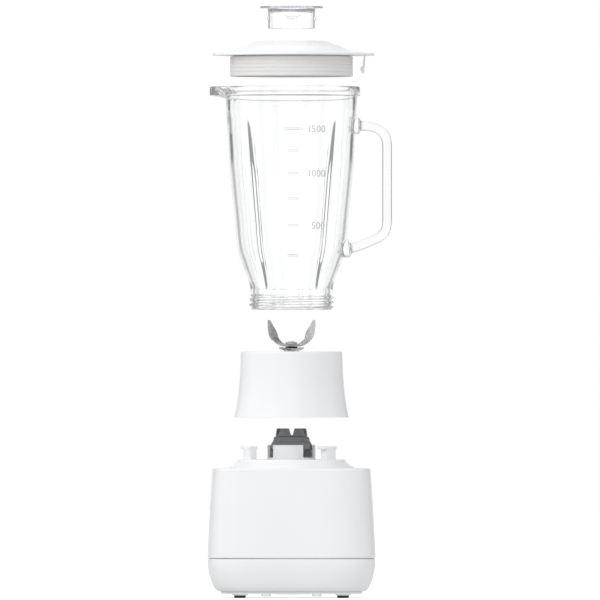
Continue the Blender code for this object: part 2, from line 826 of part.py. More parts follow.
def driven_coupling():
    """The socket under the blade base that drops over the motor's teeth, with a fin for each notch."""
    ceiling, bore = TEETH_HIGH + 0.6, SHAFT_RADIUS + GAP
    socket = turned(
        "driven_coupling",
        [
            (6.5, HUB_LOW - GAP),
            (6.5, ceiling + 3.4),
            (18.8, ceiling + 3.4),
            (20.0, ceiling + 2.2),
            (20.0, TEETH_LOW + 0.8),
            (17.2, TEETH_LOW + 0.8),
            (17.2, ceiling),
            (bore, ceiling),
            (bore, HUB_LOW - GAP),
        ],
    )
    for index in range(TEETH):
        fin = box("fin", (8.6, -0.9, ceiling - 5.2), (18.0, 0.9, ceiling + 1.0))
        socket = join(socket, moved(fin, turn=60.0 * index + 90.0))
    return finished(socket, DARK, BLADE_BASE)


def bent_blade(name, path, hub_z, turn):
    """A two-armed blade of bent sheet. path holds (distance, rise, half width) from the hub to the tip."""
    thickness = 1.5
    arm = [(-distance, rise, width) for distance, rise, width in reversed(path[1:])]
    arm += list(path)
    mesh = bpy.data.meshes.new(name)
    shape = bmesh.new()
    rows = []
    for distance, rise, width in arm:
        middle = rise + thickness / 2
        corners = [(distance, side, middle) for side in (-width, width)]
        rows.append([shape.verts.new(Vector(corner) * MM) for corner in corners])
    for (a, b), (c, d) in zip(rows, rows[1:]):
        shape.faces.new((a, c, d, b))
    shape.to_mesh(mesh)
    shape.free()
    blade = mesh_object(name, mesh)
    sheet = blade.modifiers.new("thickness", "SOLIDIFY")
    sheet.thickness = thickness * MM
    sheet.offset = 0.0
    blade = baked(blade)
    blade = cut(blade, rod("bore", SHAFT_RADIUS + GAP, -4.0, 4.0))
    return finished(moved(blade, z=hub_z, turn=turn), STEEL, BLADE_BASE)


def blade_stack():
    """Shaft, washer, short lower blade, spacer, upswept upper blade and dome nut."""
    washer_z = TOWER_TOP + 4.4
    lower_z = washer_z + 1.3
    spacer_z = lower_z + 1.8
    upper_z = spacer_z + 2.1
    nut_z = upper_z + 1.8
    bore = SHAFT_RADIUS + GAP
    lower_path = ((0.0, 0.0, 6.5), (8.0, 0.0, 6.5), (13.0, 0.8, 5.4), (21.0, 1.4, 2.8))
    upper_path = (
        (0.0, 0.0, 7.0),
        (7.5, 0.0, 7.0),
        (13.7, 2.0, 6.4),
        (20.0, 6.8, 7.6),
        (22.0, 10.8, 8.6),
        (23.6, 15.4, 7.8),
        (25.7, 20.6, 5.2),
        (27.3, 26.2, 1.8),
    )
    nut = turned(
        "blade_nut",
        [(0.0, nut_z + 3.4), (3.2, nut_z + 3.1), (5.2, nut_z + 2.2), (6.2, nut_z), (0.0, nut_z)],
        12,
    )
    nut = cut(nut, rod("thread", bore, nut_z - 1.0, nut_z + 2.0))
    return [
        finished(rod("blade_shaft", SHAFT_RADIUS, TEETH_HIGH + 1.2, nut_z + 1.7), STEEL, BLADE_BASE),
        finished(tube("blade_washer", bore, 8.0, washer_z, washer_z + 1.0), STEEL, BLADE_BASE),
        bent_blade("lower_blade", lower_path, lower_z, BLADE_TURN + 90.0),
        finished(tube("blade_spacer", bore, 6.3, spacer_z, spacer_z + 1.8), RUBBER, BLADE_BASE),
        bent_blade("upper_blade", upper_path, upper_z, BLADE_TURN),
        finished(nut, STEEL, BLADE_BASE),
    ]


# ---- Jug ---------------------------------------------------------------------------------------------
JUG_OUTSIDE = (
    (JUG_RIM_RADIUS - 1.4, JUG_RIM_Z),
    (JUG_RIM_RADIUS, JUG_RIM_Z - 1.6),
    (JUG_RIM_RADIUS, JUG_RIM_Z - 9.4),
    (68.6, JUG_RIM_Z - 11.0),
    (67.4, 400.0),
    (64.4, 343.0),
    (60.7, 302.0),
    (58.5, 281.0),
    (56.7, 260.5),
    (54.6, 248.0),
    (51.0, 238.0),
    (46.6, 227.0),
    (43.2, 215.5),
    (42.3, 208.0),
)
MOUTH_RADIUS = 63.7  # where the lid's gasket sits
THREAD_ROOT, THREAD_CREST = 41.4, 43.5
NECK_INSIDE = 36.0
RIB_TOP, RIB_FOOT = 384.0, 205.0
RIB_DEPTH = 5.0
RIB_AZIMUTHS = (45.0, 135.0, 225.0, 315.0)
JUG_SIDES = 32


def jug_profile():
    """The jug's half section: down the outside, over three thread ridges, and up the inside."""
    outside = list(JUG_OUTSIDE)
    for ridge in (202.9, 197.7, 192.5):
        outside += [(THREAD_ROOT, ridge + 1.9), (THREAD_CREST, ridge + 0.6)]
        outside += [(THREAD_CREST, ridge - 0.6), (THREAD_ROOT, ridge - 1.9)]
    outside += [(THREAD_ROOT - 1.0, JUG_FOOT_Z)]
    inside = [(NECK_INSIDE, JUG_FOOT_Z), (NECK_INSIDE, 206.0), (38.4, 214.5)]
    for radius, z in reversed(JUG_OUTSIDE[5:-3]):
        inside.append((radius - JUG_WALL - 0.3, z + 1.0))
    inside += [(MOUTH_RADIUS, 396.0), (MOUTH_RADIUS, JUG_RIM_Z - 13.0)]
    inside.append((MOUTH_RADIUS + 0.2, JUG_RIM_Z - 7.0))
    inside += [(MOUTH_RADIUS + 0.9, JUG_RIM_Z - 1.2), (MOUTH_RADIUS + 2.3, JUG_RIM_Z)]
    return outside + inside


def is_inside(radius, z):
    """Whether a point of the jug's wall belongs to its inner face."""
    return radius < 64.0 and z > RIB_FOOT and radius < outside_radius(z) - JUG_WALL / 2


def outside_radius(z):
    points = sorted(JUG_OUTSIDE, key=lambda point: point[1])
    for (r0, z0), (r1, z1) in zip(points, points[1:]):
        if z0 <= z <= z1:
            return r0 + (r1 - r0) * (z - z0) / (z1 - z0)
    return THREAD_CREST


def shaped_jug(jug):
    """Pushes four ribs into the inner face and draws the rim out into a spout on the -X side."""
    for vertex in jug.data.vertices:
        azimuth = math.degrees(math.atan2(vertex.co.y, vertex.co.x)) % 360.0
        radius, z = math.hypot(vertex.co.x, vertex.co.y) / MM, vertex.co.z / MM
        push = 0.0
        on_rib = min(abs(azimuth - rib) for rib in RIB_AZIMUTHS) < 1.0
        if on_rib and is_inside(radius, z) and z < RIB_TOP:
            push = -RIB_DEPTH * min(1.0, (RIB_TOP - z) / 60.0) * min(1.0, (z - RIB_FOOT) / 12.0)
        low, high = (12.6, 9.2) if radius > MOUTH_RADIUS + 3.0 else (9.0, 3.0)
        rise = min(1.0, (z - JUG_RIM_Z + low) / (low - high))
        if rise > 0.0:
            push = SPOUT_REACH * rise * max(0.0, -math.cos(math.radians(azimuth))) ** 22
        scale = (radius + push) / radius
        vertex.co.x *= scale
        vertex.co.y *= scale
    return jug


def jug_handle():
    """The glass grip: out from the wall, down, and back in on a slant."""
    curve = bpy.data.curves.new("handle", "CURVE")
    curve.dimensions = "3D"
    curve.bevel_depth = 5.0 * MM
    curve.bevel_resolution = 2
    curve.use_fill_caps = True
    reach = HANDLE_REACH
    route = [
        (64.2, 378.6),
        (76.0, 378.4),
        (86.0, 376.6),
        (93.2, 372.2),
        (97.4, 365.6),
        (reach, 357.0),
        (reach, 279.0),
        (96.2, 270.6),
        (91.2, 264.8),
        (84.2, 260.6),
        (64.0, 252.0),
        (56.6, 249.2),
        (52.4, 248.8),
    ]
    spline = curve.splines.new("POLY")
    spline.points.add(len(route) - 1)
    for point, (x, z) in zip(spline.points, route):
        point.co = (x * MM, 0.0, z * MM, 1.0)
    handle = baked(mesh_object("handle", curve))
    for vertex in handle.data.vertices:
        vertex.co.y *= 1.7
    return handle


def glass_jug():
    jug = shaped_jug(turned("glass_jug", jug_profile(), JUG_SIDES))
    return finished(join(jug, jug_handle()), GLASS, JUG)


# ---- Lid and cap -------------------------------------------------------------------------------------
LID_SKIRT_RADIUS = 60.0
LID_HOLE_RADIUS = CAP_BODY_RADIUS + 0.8
LEFT_TAB, RIGHT_TAB = 9.5, 13.4
BRIM_RADIUS = 72.0
GASKET_LOW, GASKET_HIGH = LID_Z - 21.5, LID_Z - 1.0


def lid():
    """The white lid: a low cone with a hole for the cap, and a brim with two tabs and a clip."""
    hole = LID_HOLE_RADIUS
    shell = turned(
        "lid",
        [
            (hole, LID_TOP_Z),
            (35.0, LID_TOP_Z),
            (51.5, LID_TOP_Z - 6.0),
            (62.0, LID_TOP_Z - 10.6),
            (BRIM_RADIUS, LID_Z + 2.4),
            (BRIM_RADIUS, LID_Z),
            (LID_SKIRT_RADIUS, LID_Z),
            (LID_SKIRT_RADIUS, GASKET_LOW + 1.0),
            (LID_SKIRT_RADIUS - 2.0, GASKET_LOW + 1.0),
            (LID_SKIRT_RADIUS - 2.0, LID_Z + 2.4),
            (50.5, LID_TOP_Z - 8.6),
            (34.0, LID_TOP_Z - 2.5),
            (hole + 2.2, LID_TOP_Z - 2.5),
            (hole + 2.2, LID_TOP_Z - 14.0),
            (hole, LID_TOP_Z - 14.0),
        ],
        JUG_SIDES,
    )
    for vertex in shell.data.vertices:
        radius = math.hypot(vertex.co.x, vertex.co.y) / MM
        if radius < BRIM_RADIUS - 1.0:
            continue
        side = vertex.co.x / MM / radius
        reach = (RIGHT_TAB if side > 0 else LEFT_TAB) * abs(side) ** 14
        scale = (radius + reach) / radius
        vertex.co.x *= scale
        vertex.co.y *= scale
    arm = box("arm", (73.4, -5.0, LID_Z - 18.6), (75.8, 5.0, LID_Z + 1.0))
    nose = box("nose", (71.4, -5.0, LID_Z - 15.4), (74.0, 5.0, LID_Z - 11.8))
    return finished(join(shell, arm, nose), WHITE, LID)


def lid_gasket():
    """The ribbed ring round the lid's skirt that seals the jug's mouth."""
    ribs, crest, root = 5, 63.2, 62.0
    pitch = (GASKET_HIGH - GASKET_LOW) / ribs
    outside = []
    for index in range(ribs):
        top = GASKET_HIGH - pitch * index
        outside += [(root, top), (crest, top - pitch * 0.6)]
    outside.append((root, GASKET_LOW))
    inside = [(LID_SKIRT_RADIUS + GAP, GASKET_LOW), (LID_SKIRT_RADIUS + GAP, GASKET_HIGH)]
    return finished(turned("lid_gasket", outside + inside), SILICONE, LID)


def measuring_cap():
    """The clear cap: a flange, a cylinder open below and a dished top."""
    body, low, seat = CAP_BODY_RADIUS, LID_TOP_Z - 20.2, LID_TOP_Z + GAP
    cap = turned(
        "measuring_cap",
        [
            (0.0, seat - 8.2),
            (12.0, seat - 6.6),
            (20.0, seat - 2.4),
            (25.0, seat + 2.2),
            (CAP_FLANGE_RADIUS, seat + 2.2),
            (CAP_FLANGE_RADIUS, seat),
            (body + 0.4, seat),
            (body, seat - 1.0),
            (body, low),
            (body - 1.8, low),
            (body - 1.8, seat - 2.8),
            (20.4, seat - 4.6),
            (12.0, seat - 8.6),
            (0.0, seat - 10.2),
        ],
        32,
    )
    return finished(cap, CLEAR, CAP)


# ---- The whole blender -------------------------------------------------------------------------------
def motor_base():
    lower_housing()
    bottom_cover()
    upper_housing()
    jug_seat()
    cord_gland()
    shaft_slinger()
    for index, (x, y) in enumerate(FOOT_PLACES, 1):
        rubber_foot(index, x, y)
    for index, (x, y) in enumerate(SCREW_PLACES, 1):
        base_screw(index, x, y)
    stator_core()
    field_coil("field_coil_back", POLE_AZIMUTHS[0])
    field_coil("field_coil_front", POLE_AZIMUTHS[1])
    motor_bracket("motor_upper_bracket", UPPER_BRACKET_Z, 117.5, 40.0)
    motor_bracket("motor_lower_bracket", LOWER_BRACKET_Z, 32.0, 38.0)
    bearing("upper_bearing", UPPER_BRACKET_Z + 2.4 + GAP, 117.0)
    bearing("lower_bearing", LOWER_BRACKET_Z + 2.4 + GAP, 31.5)
    for side, name in ((1, "right"), (-1, "left")):
        carbon_brush(f"carbon_brush_{name}", side)
        brush_holder(f"brush_holder_{name}", side)
        brush_spring(f"brush_spring_{name}", side)
        tie_bolt(f"tie_bolt_{name}", side)
    for index, azimuth in enumerate(DAMPER_AZIMUTHS, 1):
        damper(index, azimuth)
    motor_pieces()
    cooling_fan()
    drive_coupling()
    control_knob()
    rotary_switch()
    electrics()


def jug_side():
    blade_base()
    jug_seal()
    blade_bearing()
    blade_shaft_seal()
    driven_coupling()
    blade_stack()
    glass_jug()
    lid()
    lid_gasket()
    measuring_cap()


motor_base()
jug_side()
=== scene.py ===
"""The looks of a countertop blender with a glass jug, shown taken apart along its vertical axis.

Heights are written in millimetres as they are when the blender is assembled, with Z = 0 at the
flat pad under the motor base. Each group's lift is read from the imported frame, so a piece lands on
its CAD node.
"""

import json
import math

import bmesh
import bpy
from mathutils import Matrix, Vector


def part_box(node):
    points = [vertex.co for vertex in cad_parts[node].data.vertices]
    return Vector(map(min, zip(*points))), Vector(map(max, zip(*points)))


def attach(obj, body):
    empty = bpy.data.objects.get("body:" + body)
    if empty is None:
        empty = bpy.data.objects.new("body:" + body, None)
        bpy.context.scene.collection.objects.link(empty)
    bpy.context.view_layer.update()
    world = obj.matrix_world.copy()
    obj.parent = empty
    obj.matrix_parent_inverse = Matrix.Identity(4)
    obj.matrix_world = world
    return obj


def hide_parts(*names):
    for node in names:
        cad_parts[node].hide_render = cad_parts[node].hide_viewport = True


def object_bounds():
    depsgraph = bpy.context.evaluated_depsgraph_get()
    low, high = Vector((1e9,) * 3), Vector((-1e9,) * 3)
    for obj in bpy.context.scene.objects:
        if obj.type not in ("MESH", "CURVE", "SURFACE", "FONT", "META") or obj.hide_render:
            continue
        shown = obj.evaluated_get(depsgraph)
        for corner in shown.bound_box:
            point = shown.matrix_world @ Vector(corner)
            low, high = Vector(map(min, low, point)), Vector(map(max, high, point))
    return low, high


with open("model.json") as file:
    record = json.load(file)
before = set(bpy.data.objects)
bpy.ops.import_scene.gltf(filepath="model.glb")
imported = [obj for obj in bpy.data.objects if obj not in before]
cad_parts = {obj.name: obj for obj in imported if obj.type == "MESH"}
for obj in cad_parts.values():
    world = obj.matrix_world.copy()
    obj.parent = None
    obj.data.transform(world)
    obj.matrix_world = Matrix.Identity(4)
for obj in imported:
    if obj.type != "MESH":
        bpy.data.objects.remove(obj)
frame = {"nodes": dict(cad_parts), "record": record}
CAD_BOX = [list(corner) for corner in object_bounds()]

MM = 0.001


# ---- Heights in the assembled blender, and the lifts read from the frame ----
def lift_of(node, assembled_low):
    """How far a CAD node hangs above its place in the assembled blender, in millimetres."""
    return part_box(node)[0].z / MM - assembled_low


BASE_HALF_WIDTH = 86.5
BASE_SQUARENESS = 4.5
SEAM_Z = 37.5
SHOULDER_Z = 130.0
DECK_Z = 139.0
SKIRT_Z = 136.8
JUG_FOOT_Z = 189.1
JUG_RIM_Z = 419.1
LID_Z = 419.4
LID_TOP_Z = 434.4
GASKET_LOW = LID_Z - 21.5
CAP_LOW = LID_TOP_Z - 20.2
POST_AZIMUTHS = (84.0, 204.0, 324.0)
WINDOW_AZIMUTHS = (79.5, 199.5, 319.5)
SHAFT_RADIUS = 3.7
BORE_RADIUS = SHAFT_RADIUS + 0.3

LIFTS = {
    "blade_base_body": lift_of("blade_base", SKIRT_Z),
    "blades": lift_of("blade_base", SKIRT_Z),
    "jug": lift_of("glass_jug", JUG_FOOT_Z),
    "lid_body": lift_of("lid_gasket", GASKET_LOW),
    "cap": lift_of("measuring_cap", CAP_LOW),
}


# ---- Modelling tools ----
def added(name, data):
    """A new object in the scene."""
    made = bpy.data.objects.new(name, data)
    bpy.context.scene.collection.objects.link(made)
    return made


def from_bmesh(name, made, outward=True):
    """An object made of a bmesh, with its faces turned outward."""
    if outward:
        bmesh.ops.recalc_face_normals(made, faces=made.faces)
    mesh = bpy.data.meshes.new(name)
    made.to_mesh(mesh)
    made.free()
    return added(name, mesh)


def cos_sin(degrees):
    return math.cos(math.radians(degrees)), math.sin(math.radians(degrees))


def eased(value):
    value = min(1.0, max(0.0, value))
    return value * value * (3.0 - 2.0 * value)


def catmull_rom(p, q, r, s, t):
    square = (2 * p - 5 * q + 4 * r - s) * t * t
    return 0.5 * (2 * q + (r - p) * t + square + (3 * q - p - 3 * r + s) * t**3)


def curved(points, per_span=6):
    """A smooth line through points, with doubled ends."""
    padded = [points[0]] + list(points) + [points[-1]]
    line = []
    for corners in zip(padded, padded[1:], padded[2:], padded[3:]):
        for step in range(per_span):
            line.append(tuple(catmull_rom(*values, step / per_span) for values in zip(*corners)))
    line.append(tuple(points[-1]))
    return line


def rounded(profile, closed=True, steps=5):
    """A profile whose corners are arcs. A corner is (radius, z) or (radius, z, fillet)."""
    line = []
    count = len(profile)
    for index, corner in enumerate(profile):
        here = Vector(corner[:2])
        fillet = corner[2] if len(corner) > 2 else 0.0
        at_end = not closed and index in (0, count - 1)
        if not fillet or at_end:
            line.append(tuple(here))
            continue
        before = Vector(profile[index - 1][:2]) - here
        after = Vector(profile[(index + 1) % count][:2]) - here
        half = before.angle(after) / 2
        reach = min(fillet / math.tan(half), before.length * 0.49, after.length * 0.49)
        start, end = here + before.normalized() * reach, here + after.normalized() * reach
        for step in range(steps + 1):
            t = step / steps
            line.append(tuple((1 - t) ** 2 * start + 2 * t * (1 - t) * here + t * t * end))
    return line


def bridge(made, first, second):
    """Faces between two closed rings of vertices. One of them may be a single vertex."""
    count = max(len(first), len(second))
    for side in range(count):
        after = (side + 1) % count
        if len(first) == 1:
            made.faces.new((first[0], second[side], second[after]))
        elif len(second) == 1:
            made.faces.new((first[side], second[0], first[after]))
        else:
            made.faces.new((first[side], second[side], second[after], first[after]))


def lathe(name, profile, sides=128, closed=True, shape=None):
    """A solid of revolution. An open profile starts and ends on the axis. shape moves points."""
    made = bmesh.new()
    rings = []
    for radius, z in profile:
        if radius < 1e-6:
            rings.append([made.verts.new((0.0, 0.0, z * MM))])
            continue
        ring = []
        for side in range(sides):
            azimuth = math.tau * side / sides
            r, h = (radius, z) if shape is None else shape(radius, z, azimuth)
            x, y = r * math.cos(azimuth), r * math.sin(azimuth)
            ring.append(made.verts.new((x * MM, y * MM, h * MM)))
        rings.append(ring)
    pairs = list(zip(rings, rings[1:]))
    if closed:
        pairs.append((rings[-1], rings[0]))
    for upper, lower in pairs:
        bridge(made, upper, lower)
    return from_bmesh(name, made)


def turned(name, corners, sides, closed=True, shape=None):
    """A solid of revolution whose section has rounded corners."""
    return lathe(name, rounded(corners, closed), sides, closed, shape)


def block(name, low, high, bevel=0.5, segments=3):
    """A box between two corners, with rounded edges."""
    made = bmesh.new()
    size = [(b - a) * MM for a, b in zip(low, high)]
    centre = [(a + b) / 2 * MM for a, b in zip(low, high)]
    place = Matrix.Translation(centre) @ Matrix.Diagonal((*size, 1.0))
    bmesh.ops.create_cube(made, size=1.0, matrix=place)
    if bevel:
        how = {"offset": bevel * MM, "segments": segments, "profile": 0.5, "affect": "EDGES"}
        bmesh.ops.bevel(made, geom=made.edges[:], **how)
    return from_bmesh(name, made)


def prism(name, outline, low, high):
    """A flat outline of (x, y) corners with a thickness from low to high."""
    made = bmesh.new()
    bottom = made.faces.new([made.verts.new((x * MM, y * MM, low * MM)) for x, y in outline])
    grown = bmesh.ops.extrude_face_region(made, geom=[bottom])
    top = [item for item in grown["geom"] if isinstance(item, bmesh.types.BMVert)]
    bmesh.ops.translate(made, verts=top, vec=(0.0, 0.0, (high - low) * MM))
    return from_bmesh(name, made)


def moved(piece, x=0.0, y=0.0, z=0.0, turn=0.0, tilt=0.0):
    """Tilts piece's mesh about X, turns it about Z and shifts it, in degrees and millimetres."""
    shift = Matrix.Translation((x * MM, y * MM, z * MM))
    about_z = Matrix.Rotation(math.radians(turn), 4, "Z")
    about_x = Matrix.Rotation(math.radians(tilt), 4, "X")
    piece.data.transform(shift @ about_z @ about_x)
    return piece


def evaluated_mesh(piece):
    graph = bpy.context.evaluated_depsgraph_get()
    graph.update()
    return bpy.data.meshes.new_from_object(piece.evaluated_get(graph))


def applied(piece):
    """piece with its modifiers made part of its mesh."""
    mesh = evaluated_mesh(piece)
    piece.modifiers.clear()
    piece.data = mesh
    return piece


def combine(piece, other, operation):
    boolean = piece.modifiers.new(operation.lower(), "BOOLEAN")
    boolean.operation = operation
    boolean.solver = "EXACT"
    boolean.object = other
    applied(piece)
    bpy.data.objects.remove(other, do_unlink=True)
    return piece


def cut(piece, *others):
    for other in others:
        combine(piece, other, "DIFFERENCE")
    return piece


def join(piece, *others):
    for other in others:
        combine(piece, other, "UNION")
    return piece


def softened(piece, width, segments=2, angle=30.0):
    """Rounds piece's sharp edges."""
    bevel = piece.modifiers.new("soft_edges", "BEVEL")
    bevel.width = width * MM
    bevel.segments = segments
    bevel.limit_method = "ANGLE"
    bevel.angle_limit = math.radians(angle)
    bevel.harden_normals = False
    return applied(piece)


def placed(piece, body, slot, *nodes, material=None, angle=32.0):
    """Finishes a piece: material, lift, shading, body, and the CAD nodes that it stands for."""
    piece.data.materials.clear()
    piece.data.materials.append(material or FINISH[slot])
    piece.data.transform(Matrix.Translation((0.0, 0.0, LIFTS.get(body, 0.0) * MM)))
    piece.data.shade_smooth()
    piece.data.set_sharp_from_angle(angle=math.radians(angle))
    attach(piece, body)
    if nodes:
        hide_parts(*nodes)


# ---- Materials ----
def grey(value):
    return (value, value, value, 1.0)


def feed(tree, socket, value):
    """Gives a socket a number or a colour, or links another node's output to it."""
    if isinstance(value, (float, tuple)):
        socket.default_value = value
    else:
        tree.links.new(value, socket)


def new_node(tree, kind, inputs):
    """A shader node with its inputs fed."""
    node = tree.nodes.new("ShaderNode" + kind)
    for socket, value in inputs.items():
        feed(tree, node.inputs[socket], value)
    return node


def colour_ramp(tree, value, stops):
    """Colours along a value. A stop is (where, and a grey or a colour)."""
    node = new_node(tree, "ValToRGB", {"Fac": value})
    elements = node.color_ramp.elements
    while len(elements) < len(stops):
        elements.new(0.5)
    for element, (where, shade) in zip(elements, stops):
        element.position = where
        element.color = (*shade, 1.0) if isinstance(shade, tuple) else grey(shade)
    return node.outputs["Color"]


class Shader:
    """A Principled material under construction."""

    def __init__(self, name, colour, roughness, metallic=0.0):
        self.material = bpy.data.materials.new(name)
        self.material.use_nodes = True
        self.tree = self.material.node_tree
        self.main = self.tree.nodes["Principled BSDF"]
        self.set("Base Color", (*colour, 1.0))
        self.set("Roughness", roughness)
        self.set("Metallic", metallic)
        self.place = self.tree.nodes.new("ShaderNodeTexCoord").outputs["Object"]
        self.height = None

    def set(self, socket, value):
        self.main.inputs[socket].default_value = value

    def noise(self, size_mm, detail=3.0, stretch=(1.0, 1.0, 1.0)):
        """A noise pattern whose blobs are about size_mm across."""
        place = new_node(self.tree, "Mapping", {"Scale": stretch, "Vector": self.place})
        inputs = {
            "Scale": 1.0 / (size_mm * MM), "Detail": detail, "Vector": place.outputs["Vector"]
        }
        return new_node(self.tree, "TexNoise", inputs).outputs["Fac"]

    def varied(self, socket, fac, low, high, start=0.3, end=0.7):
        """Lets a socket run from low to high with a pattern."""
        shades = colour_ramp(self.tree, fac, ((start, low), (end, high)))
        self.tree.links.new(shades, self.main.inputs[socket])

    def colours(self, *pattern):
        self.varied("Base Color", *pattern)

    def roughnesses(self, *pattern):
        self.varied("Roughness", *pattern)

    def bands(self, scale, distortion):
        """Even stripes up the object."""
        inputs = {"Scale": scale, "Distortion": distortion, "Vector": self.place}
        node = new_node(self.tree, "TexWave", inputs)
        node.wave_type = "BANDS"
        node.bands_direction = "Z"
        return node.outputs["Fac"]

    def bump(self, fac, depth_mm, strength=1.0):
        inputs = {"Strength": strength, "Distance": depth_mm * MM, "Height": fac}
        if self.height is not None:
            inputs["Normal"] = self.height
        self.height = new_node(self.tree, "Bump", inputs).outputs["Normal"]
        self.tree.links.new(self.height, self.main.inputs["Normal"])


FINISH = {}


def look(kind, *values):
    """Makes a material of a kind, adds the details of the function below, and keeps it by name."""

    def make(add_details):
        made = kind(add_details.__name__, *values)
        add_details(made)
        FINISH[add_details.__name__] = made.material

    return make


def moulded(name, colour, roughness, grain_mm=0.35, depth_mm=0.006, shade=0.985):
    """Injection-moulded plastic: a fine spark-eroded grain and slow drifts of tone and gloss."""
    made = Shader(name, colour, roughness)
    made.colours(made.noise(60.0, 1.0), tuple(channel * shade for channel in colour), colour)
    made.roughnesses(made.noise(9.0, 2.0), roughness * 0.88, min(1.0, roughness * 1.1))
    made.bump(made.noise(grain_mm, 2.0), depth_mm)
    return made


@look(moulded, (0.87, 0.88, 0.89), 0.34)
def white_plastic(made):
    made.set("IOR", 1.5)
    made.set("Subsurface Weight", 0.06)
    made.set("Subsurface Radius", (0.004, 0.004, 0.004))
    made.set("Coat Weight", 0.12)
    made.set("Coat Roughness", 0.12)


def clear(name, colour, roughness, ior, glow, strength):
    """A clear material. Its faint even glow makes up for the rays dropped in thick pieces."""
    made = Shader(name, colour, roughness)
    made.set("IOR", ior)
    made.set("Transmission Weight", 1.0)
    made.set("Emission Color", (*glow, 1.0))
    made.set("Emission Strength", strength)
    return made


@look(clear, (0.99, 0.994, 0.993), 0.0, 1.5, (0.97, 1.0, 0.99), 0.045)
def clear_glass(made):
    """Pressed glass: clear, with the faint long waves that the mould leaves."""
    made.bump(made.noise(22.0, 1.0, (1.0, 1.0, 0.25)), 0.05, 0.35)


@look(clear, (0.984, 0.985, 0.998), 0.03, 1.49, (0.93, 0.93, 1.0), 0.05)
def clear_plastic(made):
    made.bump(made.noise(14.0, 1.0), 0.04, 0.3)


@look(Shader, (0.60, 0.61, 0.61), 0.55)
def frosted_mark(made):
    """The raised outlines of the scale, frosted by the mould."""
    made.colours(made.noise(1.2, 2.0), (0.52, 0.53, 0.53), (0.66, 0.67, 0.67))
    made.bump(made.noise(0.25, 2.0), 0.02)


@look(moulded, (0.82, 0.805, 0.795), 0.48, 0.6, 0.01)
def grey_silicone(made):
    made.set("Subsurface Weight", 0.35)
    made.set("Subsurface Radius", (0.006, 0.006, 0.006))
    made.set("Specular IOR Level", 0.4)


@look(moulded, (0.205, 0.215, 0.217), 0.3, 1.4, 0.12, 0.75)
def dark_plastic(made):
    made.set("Specular IOR Level", 0.6)


@look(moulded, (0.022, 0.022, 0.023), 0.75, 0.4, 0.02, 0.75)
def black_rubber(made):
    made.set("Specular IOR Level", 0.35)


@look(Shader, (0.80, 0.80, 0.79), 0.45, 1.0)
def polished_steel(made):
    """Stainless sheet, ground along the blade and then polished."""
    grind = made.noise(0.9, 4.0, (1.0, 1.0, 0.35))
    made.roughnesses(grind, 0.3, 0.5)
    made.colours(made.noise(1.7, 3.0), (0.60, 0.60, 0.59), (1.0, 1.0, 0.99))
    made.bump(made.noise(2.6, 3.0), 0.25, 0.6)


@look(Shader, (0.50, 0.50, 0.51), 0.32, 1.0)
def plain_steel(made):
    """Turned and ground steel, with rings along its axis."""
    rings = made.noise(0.5, 3.0, (0.1, 0.1, 1.0))
    made.roughnesses(rings, 0.24, 0.42)
    made.bump(rings, 0.01, 0.5)


@look(Shader, (0.25, 0.26, 0.28), 0.5, 0.9)
def lamination_steel(made):
    """A stack of varnished sheets, half a millimetre each."""
    sheets = made.bands(310.0, 0.4)
    made.colours(sheets, (0.13, 0.14, 0.15), (0.34, 0.35, 0.37))
    made.bump(sheets, 0.05)


@look(Shader, (0.55, 0.20, 0.06), 0.28, 0.85)
def enamelled_copper(made):
    """Turns of enamelled wire lying side by side."""
    wires = made.bands(220.0, 2.5)
    made.colours(wires, (0.30, 0.09, 0.02), (0.66, 0.27, 0.10))
    made.bump(wires, 0.15)


@look(Shader, (0.70, 0.52, 0.22), 0.3, 1.0)
def brass(made):
    made.roughnesses(made.noise(2.0, 3.0), 0.22, 0.4)
    made.colours(made.noise(5.0, 2.0), (0.60, 0.42, 0.16), (0.74, 0.56, 0.25))


@look(Shader, (0.42, 0.29, 0.16), 0.5, 0.9)
def bronze(made):
    """Sintered bronze, with fine open pores."""
    pores = made.noise(0.3, 2.0)
    made.colours(pores, (0.22, 0.14, 0.07), (0.48, 0.34, 0.19), 0.35, 0.5)
    made.bump(pores, 0.03)


@look(Shader, (0.02, 0.02, 0.022), 0.55)
def carbon(made):
    made.colours(made.noise(0.5, 3.0), (0.012, 0.012, 0.013), (0.04, 0.04, 0.043))
    made.bump(made.noise(0.4, 2.0), 0.02)


@look(Shader, (0.03, 0.16, 0.06), 0.35)
def circuit_board(made):
    """Green solder mask over a faint glass weave."""
    made.colours(made.noise(1.4, 4.0), (0.02, 0.11, 0.04), (0.05, 0.22, 0.09))
    made.set("Coat Weight", 0.4)
    made.bump(made.noise(0.6, 1.0), 0.02)


@look(moulded, (0.52, 0.33, 0.10), 0.4, 0.6, 0.015, 0.85)
def capacitor_case(made):
    """Dipped film capacitor: a plain lacquer."""


def finish_cad_nodes():
    """Every CAD node gets its slot's material, whether or not a piece replaces it later."""
    for entry in frame["record"]["subparts"]:
        materials = frame["nodes"][entry["node"]].data.materials
        materials.clear()
        materials.append(FINISH[entry["material_slot"]])


# ---- Motor base ----
def squareness(azimuth):
    """How much further out than on the X axis the base's superellipse lies at this azimuth."""
    n = BASE_SQUARENESS
    return (abs(math.cos(azimuth)) ** n + abs(math.sin(azimuth)) ** n) ** (-1 / n)


def squared(round_inside, square_outside):
    """A lathe shape: round within round_inside, and with the base's plan outside square_outside."""

    def shape(radius, z, azimuth):
        share = min(1, max(0, (radius - round_inside) / (square_outside - round_inside)))
        return radius * (1 + share * (squareness(azimuth) - 1)), z

    return shape


